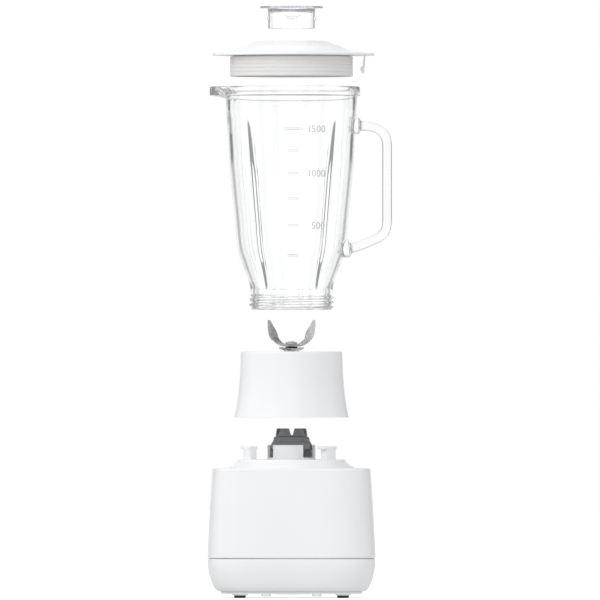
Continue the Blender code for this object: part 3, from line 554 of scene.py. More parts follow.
BASE_SIDES = 176
WALL = 2.5
DECK_RADIUS = 55.5
DECK_FOOT_RADIUS = 64.5
KNOB_Z = 80
GLAND_X, GLAND_Z = 36, 18
KNOB_RADIUS, KNOB_DEPTH = 17, 13
SCREW_PLACES = ((26, 68.5), (-26, 68.5), (-26, -68.5), (26, -68.5))
FOOT_PLACES = ((53, 50), (-53, 50), (-53, -50), (53, -50))


def rod(name, radius, low, high, sides=32):
    return lathe(name, [(0, high), (radius, high), (radius, low), (0, low)], sides, closed=False)


def lower_housing():
    half, low, top = BASE_HALF_WIDTH, 3.5, SEAM_Z - 0.4
    outer = [
        (half - 0.25, top - 0.8), (half - 0.5, 29), (half - 2.1, 20), (half - 5.2, 10.6),
        (half - 8.2, 5.7), (half - 11.4, low),
    ]
    inner = [
        (64, low), (64, low + WALL), (half - 12.4, low + WALL + 0.4, 3),
        (half - 7.8, 11, 6), (half - 4.7, 20.5, 6), (half - 4.4, top + 2.4),
        (half - 2.9, top + 2.4), (half - 2.9, top), (half - 1, top, 0.3),
    ]
    profile = curved(outer) + rounded(inner, closed=False)
    shell = lathe("lower_housing_shell", profile, BASE_SIDES, shape=squared(30, 64))
    for x, y in SCREW_PLACES:
        shell = join(shell, moved(rod("boss", 4.3, low + 1, 16), x, y))
        shell = cut(shell, moved(rod("pilot", 2, low - 1, 17, 16), x, y))
    bore = moved(rod("bore", 5.9, -15, 15), tilt=-90)
    shell = cut(shell, moved(bore, GLAND_X, BASE_HALF_WIDTH - 4, GLAND_Z))
    placed(shell, "motor_base", "white_plastic", "lower_housing")


def upper_housing():
    """The tapered shell. Its foot is turned in a little, which leaves the grey line of the seam."""
    half, top = BASE_HALF_WIDTH, SHOULDER_Z
    outer = [
        (half - 5.15, top - 1.3), (half - 4.6, 120), (half - 3.1, 98), (half - 2, 80),
        (half - 0.9, 60), (half - 0.25, 46), (half - 0.05, SEAM_Z + 1.6),
    ]
    foot = [
        (half - 0.35, SEAM_Z + 0.7), (half - 0.9, SEAM_Z + 0.4), (half - WALL, SEAM_Z + 0.4),
        (half - WALL - 0.4, 50), (half - WALL - 2, 80), (half - WALL - 4.6, 119),
    ]
    crown = [
        (half - WALL - 5.8, top - WALL, 1.5), (DECK_FOOT_RADIUS + 0.8, top - WALL),
        (DECK_FOOT_RADIUS + 0.8, top, 0.5),
    ]
    shoulder = [
        (half - 7.6, top), (half - 6.4, top), (half - 5.75, top - 0.25), (half - 5.3, top - 0.75),
    ]
    profile = curved(outer, 5) + foot + rounded(crown, closed=False) + shoulder
    plan = squared(DECK_FOOT_RADIUS + 0.9, half - 9)
    shell = lathe("upper_housing_shell", profile, BASE_SIDES, shape=plan)
    bezel = rod("bezel", KNOB_RADIUS - 3, -4, -0.8, 96)
    shell = join(shell, moved(softened(bezel, 0.3), 0, half, KNOB_Z, tilt=-90))
    bore = moved(rod("bore", 4.6, -12, 12), 0, half, KNOB_Z, tilt=-90)
    placed(cut(shell, bore), "motor_base", "white_plastic", "upper_housing")


def raised_rim(outer, inner, low, sides):
    """A ring that stands out from the bottom cover, round a foot or a screw."""
    section = [(outer, 1.6), (outer, low, 0.4), (inner, low, 0.2), (inner, 1.6)]
    return turned("rim", section, sides)


def bottom_cover():
    low, high, half = 1, 3.2, 73
    profile = [
        (0, high), (half, high, 0.3), (half, low, 0.6), (20, low), (20, 0, 0.3), (0, 0),
    ]
    plate = turned("bottom_cover_plate", profile, 144, False, squared(40, 70))
    for index in range(10):
        ends = [cos_sin(90 + 22.5 * step) for step in range(9)]
        outline = [(25 + 1.6 * (1 + a), 1.6 * b) for a, b in ends]
        outline += [(37 - 1.6 * (1 + a), -1.6 * b) for a, b in ends]
        plate = cut(plate, moved(prism("slot", outline, -2, 6), turn=36 * index))
    for x, y in FOOT_PLACES:
        plate = join(plate, moved(raised_rim(8, 6.3, -0.5, 48), x, y))
    for x, y in SCREW_PLACES:
        plate = join(plate, moved(raised_rim(5, 3.8, -1.2, 32), x, y))
        plate = cut(plate, moved(rod("hole", 2, -2, 6, 24), x, y))
    placed(plate, "motor_base", "white_plastic", "bottom_cover")


def rubber_feet():
    for index, (x, y) in enumerate(FOOT_PLACES, 1):
        profile = [
            (0, 0.7), (6, 0.7, 0.2), (6, -3, 0.9), (3.4, -3, 0.2), (2.9, -2.6, 0.2),
            (0, -2.6),
        ]
        foot = turned(f"foot_{index}", profile, 40, False)
        placed(moved(foot, x, y), "motor_base", "black_rubber", f"rubber_foot_{index}")


def base_screws():
    """Pan-head screws with a cross recess."""
    for index, (x, y) in enumerate(SCREW_PLACES, 1):
        profile = [
            (0, 14), (1, 14, 0.3), (1.6, 12.5), (1.6, 0.7), (3.5, 0.7, 0.2),
            (3.5, -0.4, 0.3), (2.4, -1.1, 0.4), (0, -1.1),
        ]
        screw = turned(f"screw_{index}", profile, 32, False)
        for turn in (45, 135):
            recess = moved(block("recess", (-1.7, -0.32, -2), (1.7, 0.32, -0.2), 0), turn=turn)
            screw = cut(screw, recess)
        placed(moved(screw, x, y), "motor_base", "plain_steel", f"base_screw_{index}")


COLLAR_OUTER, COLLAR_INNER = 24.7, 22
COLLAR_TOP = 154
WINDOW_HALF_WIDTH = 8.6
POST_RADIUS, POST_TOP = 46.8, 152.5
DAMPER_RADIUS, DAMPER_AZIMUTHS = 34, (30, 150, 270)


def jug_seat():
    """The raised deck, its collar with three windows, and three hooked posts."""
    outer, under = DECK_FOOT_RADIUS, DECK_Z - WALL
    profile = [
        (COLLAR_INNER, COLLAR_TOP, 0.6), (COLLAR_OUTER, COLLAR_TOP, 0.6),
        (COLLAR_OUTER, DECK_Z, 1.2), (DECK_RADIUS, DECK_Z, 1.2), (DECK_RADIUS + 0.7, under, 1.5),
        (outer - 0.6, SHOULDER_Z + 0.9, 1.5), (outer, SHOULDER_Z - 0.6, 0.4),
        (outer, SHOULDER_Z - WALL - 0.3), (outer + 3, SHOULDER_Z - WALL - 0.3),
        (outer + 3, SHOULDER_Z - 2 * WALL - 0.3), (outer - WALL, SHOULDER_Z - 2 * WALL - 0.3),
        (outer - WALL, SHOULDER_Z, 1), (DECK_RADIUS - 2, under - WALL + 0.5, 1),
        (DECK_RADIUS - 3, under, 1), (6.5, under, 0.3), (6.5, DECK_Z, 0.3),
        (COLLAR_INNER, DECK_Z, 0.8),
    ]
    deck = turned("jug_seat_deck", profile, 144)
    for azimuth in WINDOW_AZIMUTHS:
        low, high = (COLLAR_INNER - 8, -WINDOW_HALF_WIDTH), (30, WINDOW_HALF_WIDTH)
        window = block("window", (*low, DECK_Z + 2), (*high, COLLAR_TOP + 9), 1.2)
        deck = cut(deck, moved(window, turn=azimuth))
    for azimuth in POST_AZIMUTHS:
        post = block("post", (-4, -8, DECK_Z - 1), (4, 8, POST_TOP - 1), 0.7)
        hook = block("hook", (-4.8, -13, POST_TOP - 2.8), (4.8, 8.5, POST_TOP), 0.6)
        deck = join(deck, moved(moved(join(post, hook), POST_RADIUS), turn=azimuth))
    for azimuth in DAMPER_AZIMUTHS:
        stud = moved(rod("stud", 5, 126, DECK_Z - 1), DAMPER_RADIUS)
        deck = join(deck, moved(stud, turn=azimuth))
    placed(deck, "motor_base", "white_plastic", "jug_seat")


def shaft_slinger():
    profile = [
        (9, DECK_Z + 8, 0.5), (11.5, DECK_Z + 8, 0.5), (12.5, DECK_Z + 3, 1),
        (15, DECK_Z + 0.3, 0.3), (9, DECK_Z + 0.3, 0.3),
    ]
    ring = turned("slinger_ring", profile, 64)
    placed(ring, "motor_base", "grey_silicone", "shaft_slinger")


TEETH_LOW, TEETH_HIGH = 163, 171


def drive_coupling():
    """The dark bell: six tapered teeth, a groove under them, and a skirt that steps outward."""
    profile = [
        (7, TEETH_HIGH, 0.5), (15.2, TEETH_HIGH, 0.7), (16.5, TEETH_LOW + 0.4, 0.2),
        (15.9, TEETH_LOW, 0.2), (16.2, TEETH_LOW - 0.5, 0.2), (17.9, TEETH_LOW - 0.8, 0.6),
        (18.4, 160.6, 0.8), (18.8, 158.4, 1), (20.6, 155.6, 0.8), (20.9, 154.8, 0.5),
        (20.9, 149.6, 0.6), (18.9, 149.6, 0.5), (18.9, 155.2, 1), (15.8, TEETH_LOW - 3, 1),
        (8, TEETH_LOW - 3, 0.8), (8, 149, 0.4), (BORE_RADIUS, 149),
        (BORE_RADIUS, TEETH_LOW - 1), (7, TEETH_LOW - 0.6, 0.8),
    ]
    bell = turned("drive_coupling_bell", profile, 96)
    for index in range(3):
        outline = [(-3, 1), (3.4, 1), (1.3, -6.4), (0.3, -7.2), (-0.6, -6.4)]
        notch = moved(prism("notch", outline, -25, 25), tilt=90)
        bell = cut(bell, moved(moved(notch, z=TEETH_HIGH), turn=60 * index))
    softened(bell, 0.6, 3)
    placed(bell, "rotor", "dark_plastic", "drive_coupling")


def cord_gland():
    """The bushing that holds the lead. The lead itself isn't shown."""
    profile = [
        (7.5, 1.6, 0.4), (7.2, 3.2, 0.8), (6.2, 4.2, 0.8), (3.8, 4.2, 0.4), (3.8, -6),
        (5.5, -6, 0.3), (5.5, 1), (7.5, 1, 0.2),
    ]
    gland = moved(turned("cord_gland_bushing", profile, 64), tilt=-90)
    gland = moved(gland, GLAND_X, BASE_HALF_WIDTH - 2.2, GLAND_Z)
    placed(gland, "motor_base", "black_rubber", "cord_gland")


def control_knob():
    """A fluted knob with a raised pointer rib. The spindle behind it runs into the switch."""
    profile = [
        (0, KNOB_DEPTH - 1), (KNOB_RADIUS - 5, KNOB_DEPTH - 0.2, 2),
        (KNOB_RADIUS - 1, KNOB_DEPTH - 0.6, 1.6), (KNOB_RADIUS, 0, 0.4), (3.2, 0),
        (3.2, -16, 0.4), (0, -16),
    ]

    def flutes(radius, z, azimuth):
        depth = 0.28 if radius > KNOB_RADIUS - 3 and 1 < z < KNOB_DEPTH - 1 else 0
        return radius - depth * (0.5 + 0.5 * math.cos(36 * azimuth)), z

    knob = turned("control_knob_cap", profile, 288, False, flutes)
    half = KNOB_RADIUS - 1.4
    rib = block("rib", (-2.4, -half, KNOB_DEPTH - 3), (2.4, half, KNOB_DEPTH + 2), 0.9, 4)
    knob = moved(join(knob, rib), 0, BASE_HALF_WIDTH - 0.5, KNOB_Z, tilt=-90)
    placed(knob, "knob", "white_plastic", "control_knob")


# ---- Blade base ----
WELL_FLOOR_Z = 185.5
TOWER_TOP = 200.5
BLADE_BASE_TOP_Z = 204.8
HUB_LOW = 177
WELL_RADIUS = 44.4
BLADE_TURN = -30


def blade_base():
    """The flared skirt, one smooth curve, with the jug's well and the bearing tower inside."""
    seat, partition = 8.2, WELL_FLOOR_Z - 2.8
    outside = [
        (52.35, BLADE_BASE_TOP_Z - 1.2), (52.7, 192), (53.2, 180), (54.4, 165), (56.4, 150),
        (58.2, 141), (59.05, SKIRT_Z + 0.7),
    ]
    lip = [(59.15, SKIRT_Z + 0.3), (58.8, SKIRT_Z), (57.2, SKIRT_Z), (56.9, SKIRT_Z + 0.4)]
    inside = curved([(56.6, 139), (54, 150), (52, 165), (50.6, 180)], 4)
    core = [
        (50.2, BLADE_BASE_TOP_Z - 3, 1), (46.8, BLADE_BASE_TOP_Z - 3, 1),
        (46.8, partition, 1), (seat + 3, partition, 1), (seat + 3, HUB_LOW, 0.4),
        (seat, HUB_LOW), (seat, TOWER_TOP), (seat + 2.2, TOWER_TOP, 0.6),
        (seat + 5, WELL_FLOOR_Z, 2), (WELL_RADIUS, WELL_FLOOR_Z, 1.2),
        (WELL_RADIUS, BLADE_BASE_TOP_Z - 0.8, 0.5),
    ]
    rim = [(WELL_RADIUS + 0.9, BLADE_BASE_TOP_Z, 0.4), (50, BLADE_BASE_TOP_Z)]
    brow = [(51.3, BLADE_BASE_TOP_Z - 0.1), (52, BLADE_BASE_TOP_Z - 0.5)]
    profile = curved(outside, 5) + lip + inside + rounded(core + rim, closed=False) + brow
    base = lathe("blade_base_skirt", profile, 160)
    for azimuth in POST_AZIMUTHS:
        angles = [azimuth - 42 + 6.5 * (2 * step / 6 - 1) for step in range(7)]
        outline = [(55.6 * a, 55.6 * b) for a, b in map(cos_sin, angles)]
        outline += [(45.5 * a, 45.5 * b) for a, b in map(cos_sin, reversed(angles))]
        base = join(base, prism("lug", outline, 141, 146.5))
    placed(base, "blade_base_body", "white_plastic", "blade_base")


def jug_seal():
    top = JUG_FOOT_Z - 0.3
    profile = [
        (41.2, top, 0.6), (43.8, top - 1, 0.6), (43.8, WELL_FLOOR_Z + 0.3, 0.4),
        (35, WELL_FLOOR_Z + 0.3, 0.4), (35, top - 1, 0.6), (37, top, 0.6),
    ]
    ring = turned("jug_seal_ring", profile, 96)
    placed(ring, "blade_base_body", "grey_silicone", "jug_seal")


def blade_shaft_seal():
    profile = [
        (6, TOWER_TOP + 3.4, 0.4), (9.5, TOWER_TOP + 2.2, 0.5), (9.5, TOWER_TOP + 0.3, 0.4),
        (BORE_RADIUS, TOWER_TOP + 0.3), (BORE_RADIUS, TOWER_TOP + 3.4, 0.3),
    ]
    seal = turned("shaft_lip_seal", profile, 64)
    placed(seal, "blade_base_body", "black_rubber", "blade_shaft_seal")


def driven_coupling():
    ceiling = TEETH_HIGH + 0.6
    profile = [
        (6.5, HUB_LOW - 0.3, 0.3), (6.5, ceiling + 3.4, 0.6), (18.8, ceiling + 3.4, 1),
        (20, ceiling + 2.2, 1), (20, TEETH_LOW + 0.8, 0.5), (17.2, TEETH_LOW + 0.8, 0.5),
        (17.2, ceiling, 0.6), (BORE_RADIUS, ceiling), (BORE_RADIUS, HUB_LOW - 0.3),
    ]
    socket = turned("driven_coupling_socket", profile, 96)
    for index in range(6):
        fin = block("fin", (8.6, -0.9, ceiling - 5.2), (18, 0.9, ceiling + 1), 0.3, 2)
        socket = join(socket, moved(fin, turn=60 * index + 90))
    placed(socket, "blades", "dark_plastic", "driven_coupling")


WASHER_Z = TOWER_TOP + 4.4
LOWER_BLADE_Z = WASHER_Z + 1.3
SPACER_Z = LOWER_BLADE_Z + 1.8
UPPER_BLADE_Z = SPACER_Z + 2.1
NUT_Z = UPPER_BLADE_Z + 1.8
BLADE_THICKNESS = 1.5
TOOTH_PITCH, TOOTH_DEPTH = 2.4, 0.7
STATIONS = (-1, -0.7, -0.35, 0, 0.35, 0.7, 1)


def blade_rows(path):
    """The sections of a blade with two alike arms, from tip to tip. Each is the distance from the
    shaft, the rise, the half width, the sharpness and the arm's side."""
    line = curved(path, 10)
    rows = [(-distance, rise, width, sharp, -1) for distance, rise, width, sharp in reversed(line)]
    return rows + [(distance, rise, width, sharp, 1) for distance, rise, width, sharp in line[1:]]


def blade_section(made, row, normal, along_blade):
    """The upper and lower points of one section, as vertices of made."""
    distance, rise, width, sharp, sign = row
    middle = Vector((distance, 0, rise + BLADE_THICKNESS / 2))
    top, bottom = [], []
    for station in STATIONS:
        leading, edge = station * sign > 0, abs(station)
        nick, ground = 0, 1
        if leading and edge == 1:
            nick = TOOTH_DEPTH * sharp * abs(math.sin(math.pi * along_blade / TOOTH_PITCH))
        if leading:
            ground = 1 - 0.86 * sharp * max(0, (edge - 0.35) / 0.65)
        half = BLADE_THICKNESS / 2 * ground
        centre = middle + Vector((0, station * width - math.copysign(nick, station), 0))
        top.append(made.verts.new((centre + normal * half) * MM))
        bottom.append(made.verts.new((centre - normal * half) * MM))
    return top, bottom


def bent_blade(name, path, hub_z, turn, node):
    """A blade of bent sheet. path holds (distance, rise, half width, sharpness) from hub to tip.
    Each arm's leading edge is ground thin, and it is serrated where it is sharp."""
    rows = blade_rows(path)
    made = bmesh.new()
    tops, bottoms = [], []
    along_blade = 0
    for index, row in enumerate(rows):
        before, after = rows[max(0, index - 1)], rows[min(len(rows) - 1, index + 1)]
        if index:
            along_blade += math.hypot(row[0] - before[0], row[1] - before[1])
        along = Vector((after[0] - before[0], 0, after[1] - before[1])).normalized()
        top, bottom = blade_section(made, row, Vector((-along.z, 0, along.x)), along_blade)
        tops.append(top)
        bottoms.append(bottom)
    for rows_of, flip in ((tops, False), (bottoms, True)):
        for first, second in zip(rows_of, rows_of[1:]):
            for a, b, c, d in zip(first, first[1:], second[1:], second):
                made.faces.new((a, b, c, d) if flip else (d, c, b, a))
    for top_a, top_b, low_a, low_b in zip(tops, tops[1:], bottoms, bottoms[1:]):
        for side in (0, -1):
            made.faces.new((top_a[side], top_b[side], low_b[side], low_a[side]))
    for top, bottom in ((tops[0], bottoms[0]), (tops[-1], bottoms[-1])):
        for a, b, c, d in zip(top, top[1:], bottom[1:], bottom):
            made.faces.new((a, b, c, d))
    blade = cut(from_bmesh(name, made), rod("bore", BORE_RADIUS, -4, 4))
    moved(blade, z=hub_z, turn=turn)
    placed(blade, "blades", "polished_steel", node, angle=24)


def blades():
    lower = (
        (0, 0, 6.5, 0), (8, 0, 6.5, 0), (13, 0.8, 5.4, 0.7), (17, 1.2, 4.2, 1),
        (21, 1.4, 2.8, 1),
    )
    upper = (
        (0, 0, 7, 0), (7.5, 0, 7, 0), (13.7, 2, 6.4, 0.2), (20, 6.8, 7.6, 0.8),
        (22, 10.8, 8.6, 1), (23.6, 15.4, 7.8, 1), (25.7, 20.6, 5.2, 1),
        (27.3, 26.2, 1.8, 1),
    )
    bent_blade("lower_blade_sheet", lower, LOWER_BLADE_Z, BLADE_TURN + 90, "lower_blade")
    bent_blade("upper_blade_sheet", upper, UPPER_BLADE_Z, BLADE_TURN, "upper_blade")


def shaft_ring(name, outer, low, height, round_by=0.3):
    """A flat ring round the blade shaft."""
    high = low + height
    section = [
        (outer, high, round_by), (outer, low, round_by), (BORE_RADIUS, low), (BORE_RADIUS, high),
    ]
    return turned(name, section, 64)


def blade_fixings():
    """The washer, the spacer between the blades, and a hexagonal nut with a low dome."""
    washer = shaft_ring("blade_washer_disc", 8, WASHER_Z, 1)
    placed(washer, "blades", "polished_steel", "blade_washer")
    spacer = shaft_ring("blade_spacer_ring", 6.3, SPACER_Z, 1.8, 0.5)
    placed(spacer, "blades", "black_rubber", "blade_spacer")
    outline = [tuple(6.2 * value for value in cos_sin(60 * step)) for step in range(6)]
    nut = softened(prism("blade_nut_hex", outline, NUT_Z, NUT_Z + 2.4), 0.3)
    crown = [
        (0, NUT_Z + 3.4), (3, NUT_Z + 3.1, 1.5), (5, NUT_Z + 2, 0.6), (5, NUT_Z + 1.2),
        (0, NUT_Z + 1.2),
    ]
    nut = join(nut, turned("dome", crown, 48, False))
    nut = cut(nut, rod("thread", BORE_RADIUS, NUT_Z - 1, NUT_Z + 2))
    placed(nut, "blades", "polished_steel", "blade_nut")


# ---- Jug ----
JUG_SIDES = 240
RIM_RADIUS = 70.9
MOUTH_RADIUS = 63.7
JUG_WALL = 4.5
SPOUT_REACH = 13.4
RIB_DEPTH = 4.6
RIB_HALF_ANGLE = 9
RIB_SPLAY_TOP, RIB_SPLAY_FOOT = 47.3, 43.6
RIB_TOP, RIB_FOOT = 388, 204
THREAD_ROOT, THREAD_CREST = 41.4, 43.5
THREAD_TOP, THREAD_PITCH = 205, 5.2
HANDLE_REACH, HANDLE_WIDTH, HANDLE_DEPTH = 98.4, 10, 17
JUG_SIDE = (
    (67.75, 406.6), (67.4, 400), (66.1, 375), (64.4, 343), (62.6, 322), (60.7, 302),
    (58.5, 281), (56.7, 260.5), (54.6, 248), (51, 238), (46.6, 227), (43.4, 216.5),
)


def value_at(steps, where):
    """The value at where in a rising line of (where, value) steps. It holds past both ends."""
    for (start, low), (end, high) in zip(steps, steps[1:]):
        if start <= where <= end:
            return low + (high - low) * (where - start) / (end - start)
    return steps[-1][1] if where > steps[-1][0] else steps[0][1]


def side_radius(z):
    """The radius of the jug's outer face at height z."""
    return value_at([(height, radius) for radius, height in reversed(JUG_SIDE)], z)


def jug_profile():
    """The jug's half section: down the outside, over the neck, and up the inside."""
    rim = [
        (MOUTH_RADIUS + 4, JUG_RIM_Z, 1), (RIM_RADIUS, JUG_RIM_Z, 1.8),
        (RIM_RADIUS, JUG_RIM_Z - 9.6, 1.6), (67.9, JUG_RIM_Z - 10.4, 1.2),
    ]
    neck = [(42.5, 210), (42.2, 206.6), (THREAD_ROOT, 205.2)]
    steps = 80
    thread_height = THREAD_TOP - JUG_FOOT_Z - 0.8
    neck += [(THREAD_ROOT, THREAD_TOP - thread_height * step / steps) for step in range(steps + 1)]
    foot = [
        (THREAD_ROOT - 1, JUG_FOOT_Z, 0.6), (36.2, JUG_FOOT_Z, 1), (36, 206, 4),
        (38.4, 214.5, 4),
    ]
    wall = [(radius - JUG_WALL, z + 1) for radius, z in reversed(JUG_SIDE[2:-2])]
    wall += [(MOUTH_RADIUS - 0.7, 388), (MOUTH_RADIUS, 397), (MOUTH_RADIUS, 408)]
    lip = [(MOUTH_RADIUS + 0.05, JUG_RIM_Z - 2.6), (MOUTH_RADIUS + 0.5, JUG_RIM_Z - 1.2)]
    lip += [(MOUTH_RADIUS + 1.3, JUG_RIM_Z - 0.35), (MOUTH_RADIUS + 2.4, JUG_RIM_Z)]
    rim, foot = rounded(rim, closed=False), rounded(foot, closed=False)
    return rim + curved(JUG_SIDE, 4) + neck + foot + curved(wall, 4) + lip


def jug_shape(radius, z, azimuth):
    """Gives the plain jug its helical thread, its four inner ribs, and its spout towards -X."""
    is_outer = radius > side_radius(z) - JUG_WALL / 2 if z > 206 else radius > 39
    if is_outer and JUG_FOOT_Z + 1.2 < z < THREAD_TOP and radius > THREAD_ROOT - 0.1:
        phase = ((z - JUG_FOOT_Z) / THREAD_PITCH - azimuth / math.tau) % 1
        fade = eased((z - JUG_FOOT_Z - 1.2) / 1.5) * eased((THREAD_TOP - z) / 1.5)
        crest = eased(0.5 - 0.85 * math.cos(math.tau * phase))
        return radius + (THREAD_CREST - THREAD_ROOT) * crest * fade, z
    if not is_outer and RIB_FOOT < z < RIB_TOP:
        share = (RIB_TOP - z) / (RIB_TOP - RIB_FOOT)
        splay = RIB_SPLAY_TOP + (RIB_SPLAY_FOOT - RIB_SPLAY_TOP) * share
        aside = math.degrees(math.atan2(abs(math.cos(azimuth)), abs(math.sin(azimuth)))) - splay
        along = min(1, share * 3) ** 0.7 * eased((z - RIB_FOOT) / 45)
        half_angle = RIB_HALF_ANGLE * (0.45 + 0.55 * along)
        ridge = math.cos(math.pi / 2 * min(1, abs(aside) / half_angle)) ** 1.3
        return radius - RIB_DEPTH * ridge * along, z
    low, high = (12.6, 9.2) if radius > MOUTH_RADIUS + 3 else (9.4, 2)
    rise = eased((z - JUG_RIM_Z + low) / (low - high))
    reach = SPOUT_REACH * rise * max(0, -math.cos(azimuth)) ** 22
    return radius + reach, z


def handle_bar(route, start_pad, end_pad, sides=28):
    """A bar along route, a line of (x, z) points, with a superelliptic section. The pads hold
    (distance from the bar's end, size of the section) and end at the bar's own size."""
    line = curved(route, 20)
    lengths = [0]
    for (x0, z0), (x1, z1) in zip(line, line[1:]):
        lengths.append(lengths[-1] + math.hypot(x1 - x0, z1 - z0))
    made = bmesh.new()
    rings = []
    for index, (x, z) in enumerate(line):
        before, after = line[max(0, index - 1)], line[min(len(line) - 1, index + 1)]
        along = Vector((after[0] - before[0], after[1] - before[1])).normalized()
        normal = Vector((-along.y, along.x))
        size = value_at(start_pad, lengths[index]) * value_at(end_pad, lengths[-1] - lengths[index])
        section = []
        for side in range(sides):
            a, b = math.cos(math.tau * side / sides), math.sin(math.tau * side / sides)
            a, b = math.copysign(abs(a) ** 0.8, a), math.copysign(abs(b) ** 0.8, b)
            point = Vector((x, z)) + normal * (a * HANDLE_WIDTH / 2 * size)
            y = b * HANDLE_DEPTH / 2 * size
            section.append(made.verts.new((point.x * MM, y * MM, point.y * MM)))
        rings.append(section)
    for first, second in zip(rings, rings[1:]):
        bridge(made, first, second)
    made.faces.new(rings[0])
    made.faces.new(rings[-1])
    return from_bmesh("handle", made)


def jug_handle():
    """The solid glass handle, with a pad at each end where it is fused to the jug."""
    route = [
        (64.6, 378.6), (76, 378.4), (86, 376.6), (93, 372.6), (97.2, 366),
        (HANDLE_REACH, 357), (HANDLE_REACH, 338), (HANDLE_REACH, 298), (HANDLE_REACH, 280),
        (96.6, 271), (91.6, 264.8), (84.2, 260.8), (67, 254), (59, 252.4), (50, 252),
    ]
    upper_pad = [(0, 1.75), (4.8, 1.75), (6.5, 1.2), (7.4, 1.04), (8.6, 1)]
    lower_pad = [(0, 1.85), (9.2, 1.85), (11, 1.25), (12, 1.06), (13.2, 1)]
    return handle_bar(route, upper_pad, lower_pad)


def glass_jug():
    jug = lathe("glass_jug_body", jug_profile(), JUG_SIDES, shape=jug_shape)
    placed(join(jug, jug_handle()), "jug", "clear_glass", "glass_jug", angle=40)


SCALE_MARKS = (
    (1500, 374.8), (1250, 352.4), (1000, 329.2), (750, 303.2), (500, 275.6), (250, 244.8),
)
MARK_PROUD = 0.12


def wrapped(piece):
    """Bends a flat piece, drawn in X and Z with its depth in Y, onto the front of the jug."""
    for vertex in piece.data.vertices:
        face = side_radius(vertex.co.z / MM)
        radius = face + MARK_PROUD - vertex.co.y / MM
        angle = vertex.co.x / MM / face
        vertex.co.x = radius * math.sin(angle) * MM
        vertex.co.y = -radius * math.cos(angle) * MM
    return piece


def meshed(name, curve_data):
    piece = added(name, curve_data)
    mesh = evaluated_mesh(piece)
    bpy.data.objects.remove(piece, do_unlink=True)
    return added(name, mesh)


def scale_dash(index, centre_x, z, width, height):
    """A dash, drawn as the outline of a rounded bar."""
    curve = bpy.data.curves.new("dash", "CURVE")
    curve.dimensions = "3D"
    spline = curve.splines.new("POLY")
    radius = height / 2
    ends = []
    for side, start in ((1, -90), (-1, 90)):
        for step in range(9):
            a, b = cos_sin(start + 22.5 * step)
            ends.append((centre_x + side * (width / 2 - radius) + radius * a, z + radius * b))
    spline.points.add(len(ends) - 1)
    for point, (x, height_at) in zip(spline.points, ends):
        point.co = (x * MM, 0, height_at * MM, 1)
    spline.use_cyclic_u = True
    curve.bevel_depth = 0.2 * MM
    curve.bevel_resolution = 2
    return meshed(f"scale_dash_{index}", curve)


def scale_number(volume, left_x, z, height):
    """A volume in millilitres, in raised digits."""
    text = bpy.data.curves.new("number", "FONT")
    text.body = str(volume)
    text.size = height * MM / 0.7
    text.space_character = 1.05
    text.body_format[0].kerning = -8 if volume >= 1000 else 0
    text.extrude = 0.15 * MM
    piece = meshed(f"scale_number_{volume}", text)
    piece.data.transform(Matrix.Rotation(math.radians(90), 4, "X"))
    piece.data.transform(Matrix.Translation((left_x * MM, 0, (z - height / 2) * MM)))
    return piece


def jug_scale():
    for index, (volume, z) in enumerate(SCALE_MARKS, 1):
        width = 20 if index == 1 else 10.6
        marks = [scale_dash(index, 1.6, z, width, 1.6)]
        if volume % 500 == 0:
            left = 16.4 if volume >= 1000 else 20.6
            marks.append(scale_number(volume, left, z, 7.2))
        for mark in marks:
            placed(wrapped(mark), "jug", "clear_glass", material=FINISH["frosted_mark"])


# ---- Lid and cap ----
LID_HOLE_RADIUS = 25.2
LID_SKIRT_RADIUS = 60
BRIM_RADIUS = 72
LEFT_TAB, RIGHT_TAB = 9.5, 13.4
GASKET_HIGH = LID_Z - 1


def lid_shape(radius, z, azimuth):
    """Draws the brim out into a tab over the spout and a finger tab on the other side."""
    side = math.cos(azimuth)
    tab = (RIGHT_TAB if side > 0 else LEFT_TAB) * abs(side) ** 14
    share = eased((radius - 63) / (BRIM_RADIUS - 63))
    return radius + tab * share, z


def lid():
    hole = LID_HOLE_RADIUS
    crown = [
        (hole, LID_TOP_Z, 0.6), (35, LID_TOP_Z, 3), (51.5, LID_TOP_Z - 6, 8),
        (62, LID_TOP_Z - 10.6, 5), (67, LID_Z + 3.4, 2), (BRIM_RADIUS, LID_Z + 2.4, 0.9),
        (BRIM_RADIUS, LID_Z, 0.6), (LID_SKIRT_RADIUS, LID_Z, 0.4),
        (LID_SKIRT_RADIUS, GASKET_LOW + 1, 0.4), (LID_SKIRT_RADIUS - 2, GASKET_LOW + 1, 0.4),
        (LID_SKIRT_RADIUS - 2, LID_Z + 2.4, 1), (50.5, LID_TOP_Z - 8.6, 4),
        (34, LID_TOP_Z - 2.5, 2), (hole + 2.2, LID_TOP_Z - 2.5, 0.6),
        (hole + 2.2, LID_TOP_Z - 14, 0.6), (hole, LID_TOP_Z - 14, 0.6),
    ]
    shell = turned("lid_shell", crown, 200, shape=lid_shape)
    outline = [
        (76.2, LID_Z + 1), (74.6, LID_Z + 1), (73.4, LID_Z - 10.6), (71.2, LID_Z - 11.8),
        (71, LID_Z - 14.4), (73.2, LID_Z - 18.6), (74.4, LID_Z - 18.6), (75.6, LID_Z - 10),
    ]
    clip = softened(moved(prism("clip", outline, -5, 5), tilt=90), 0.4)
    placed(join(shell, clip), "lid_body", "white_plastic", "lid")


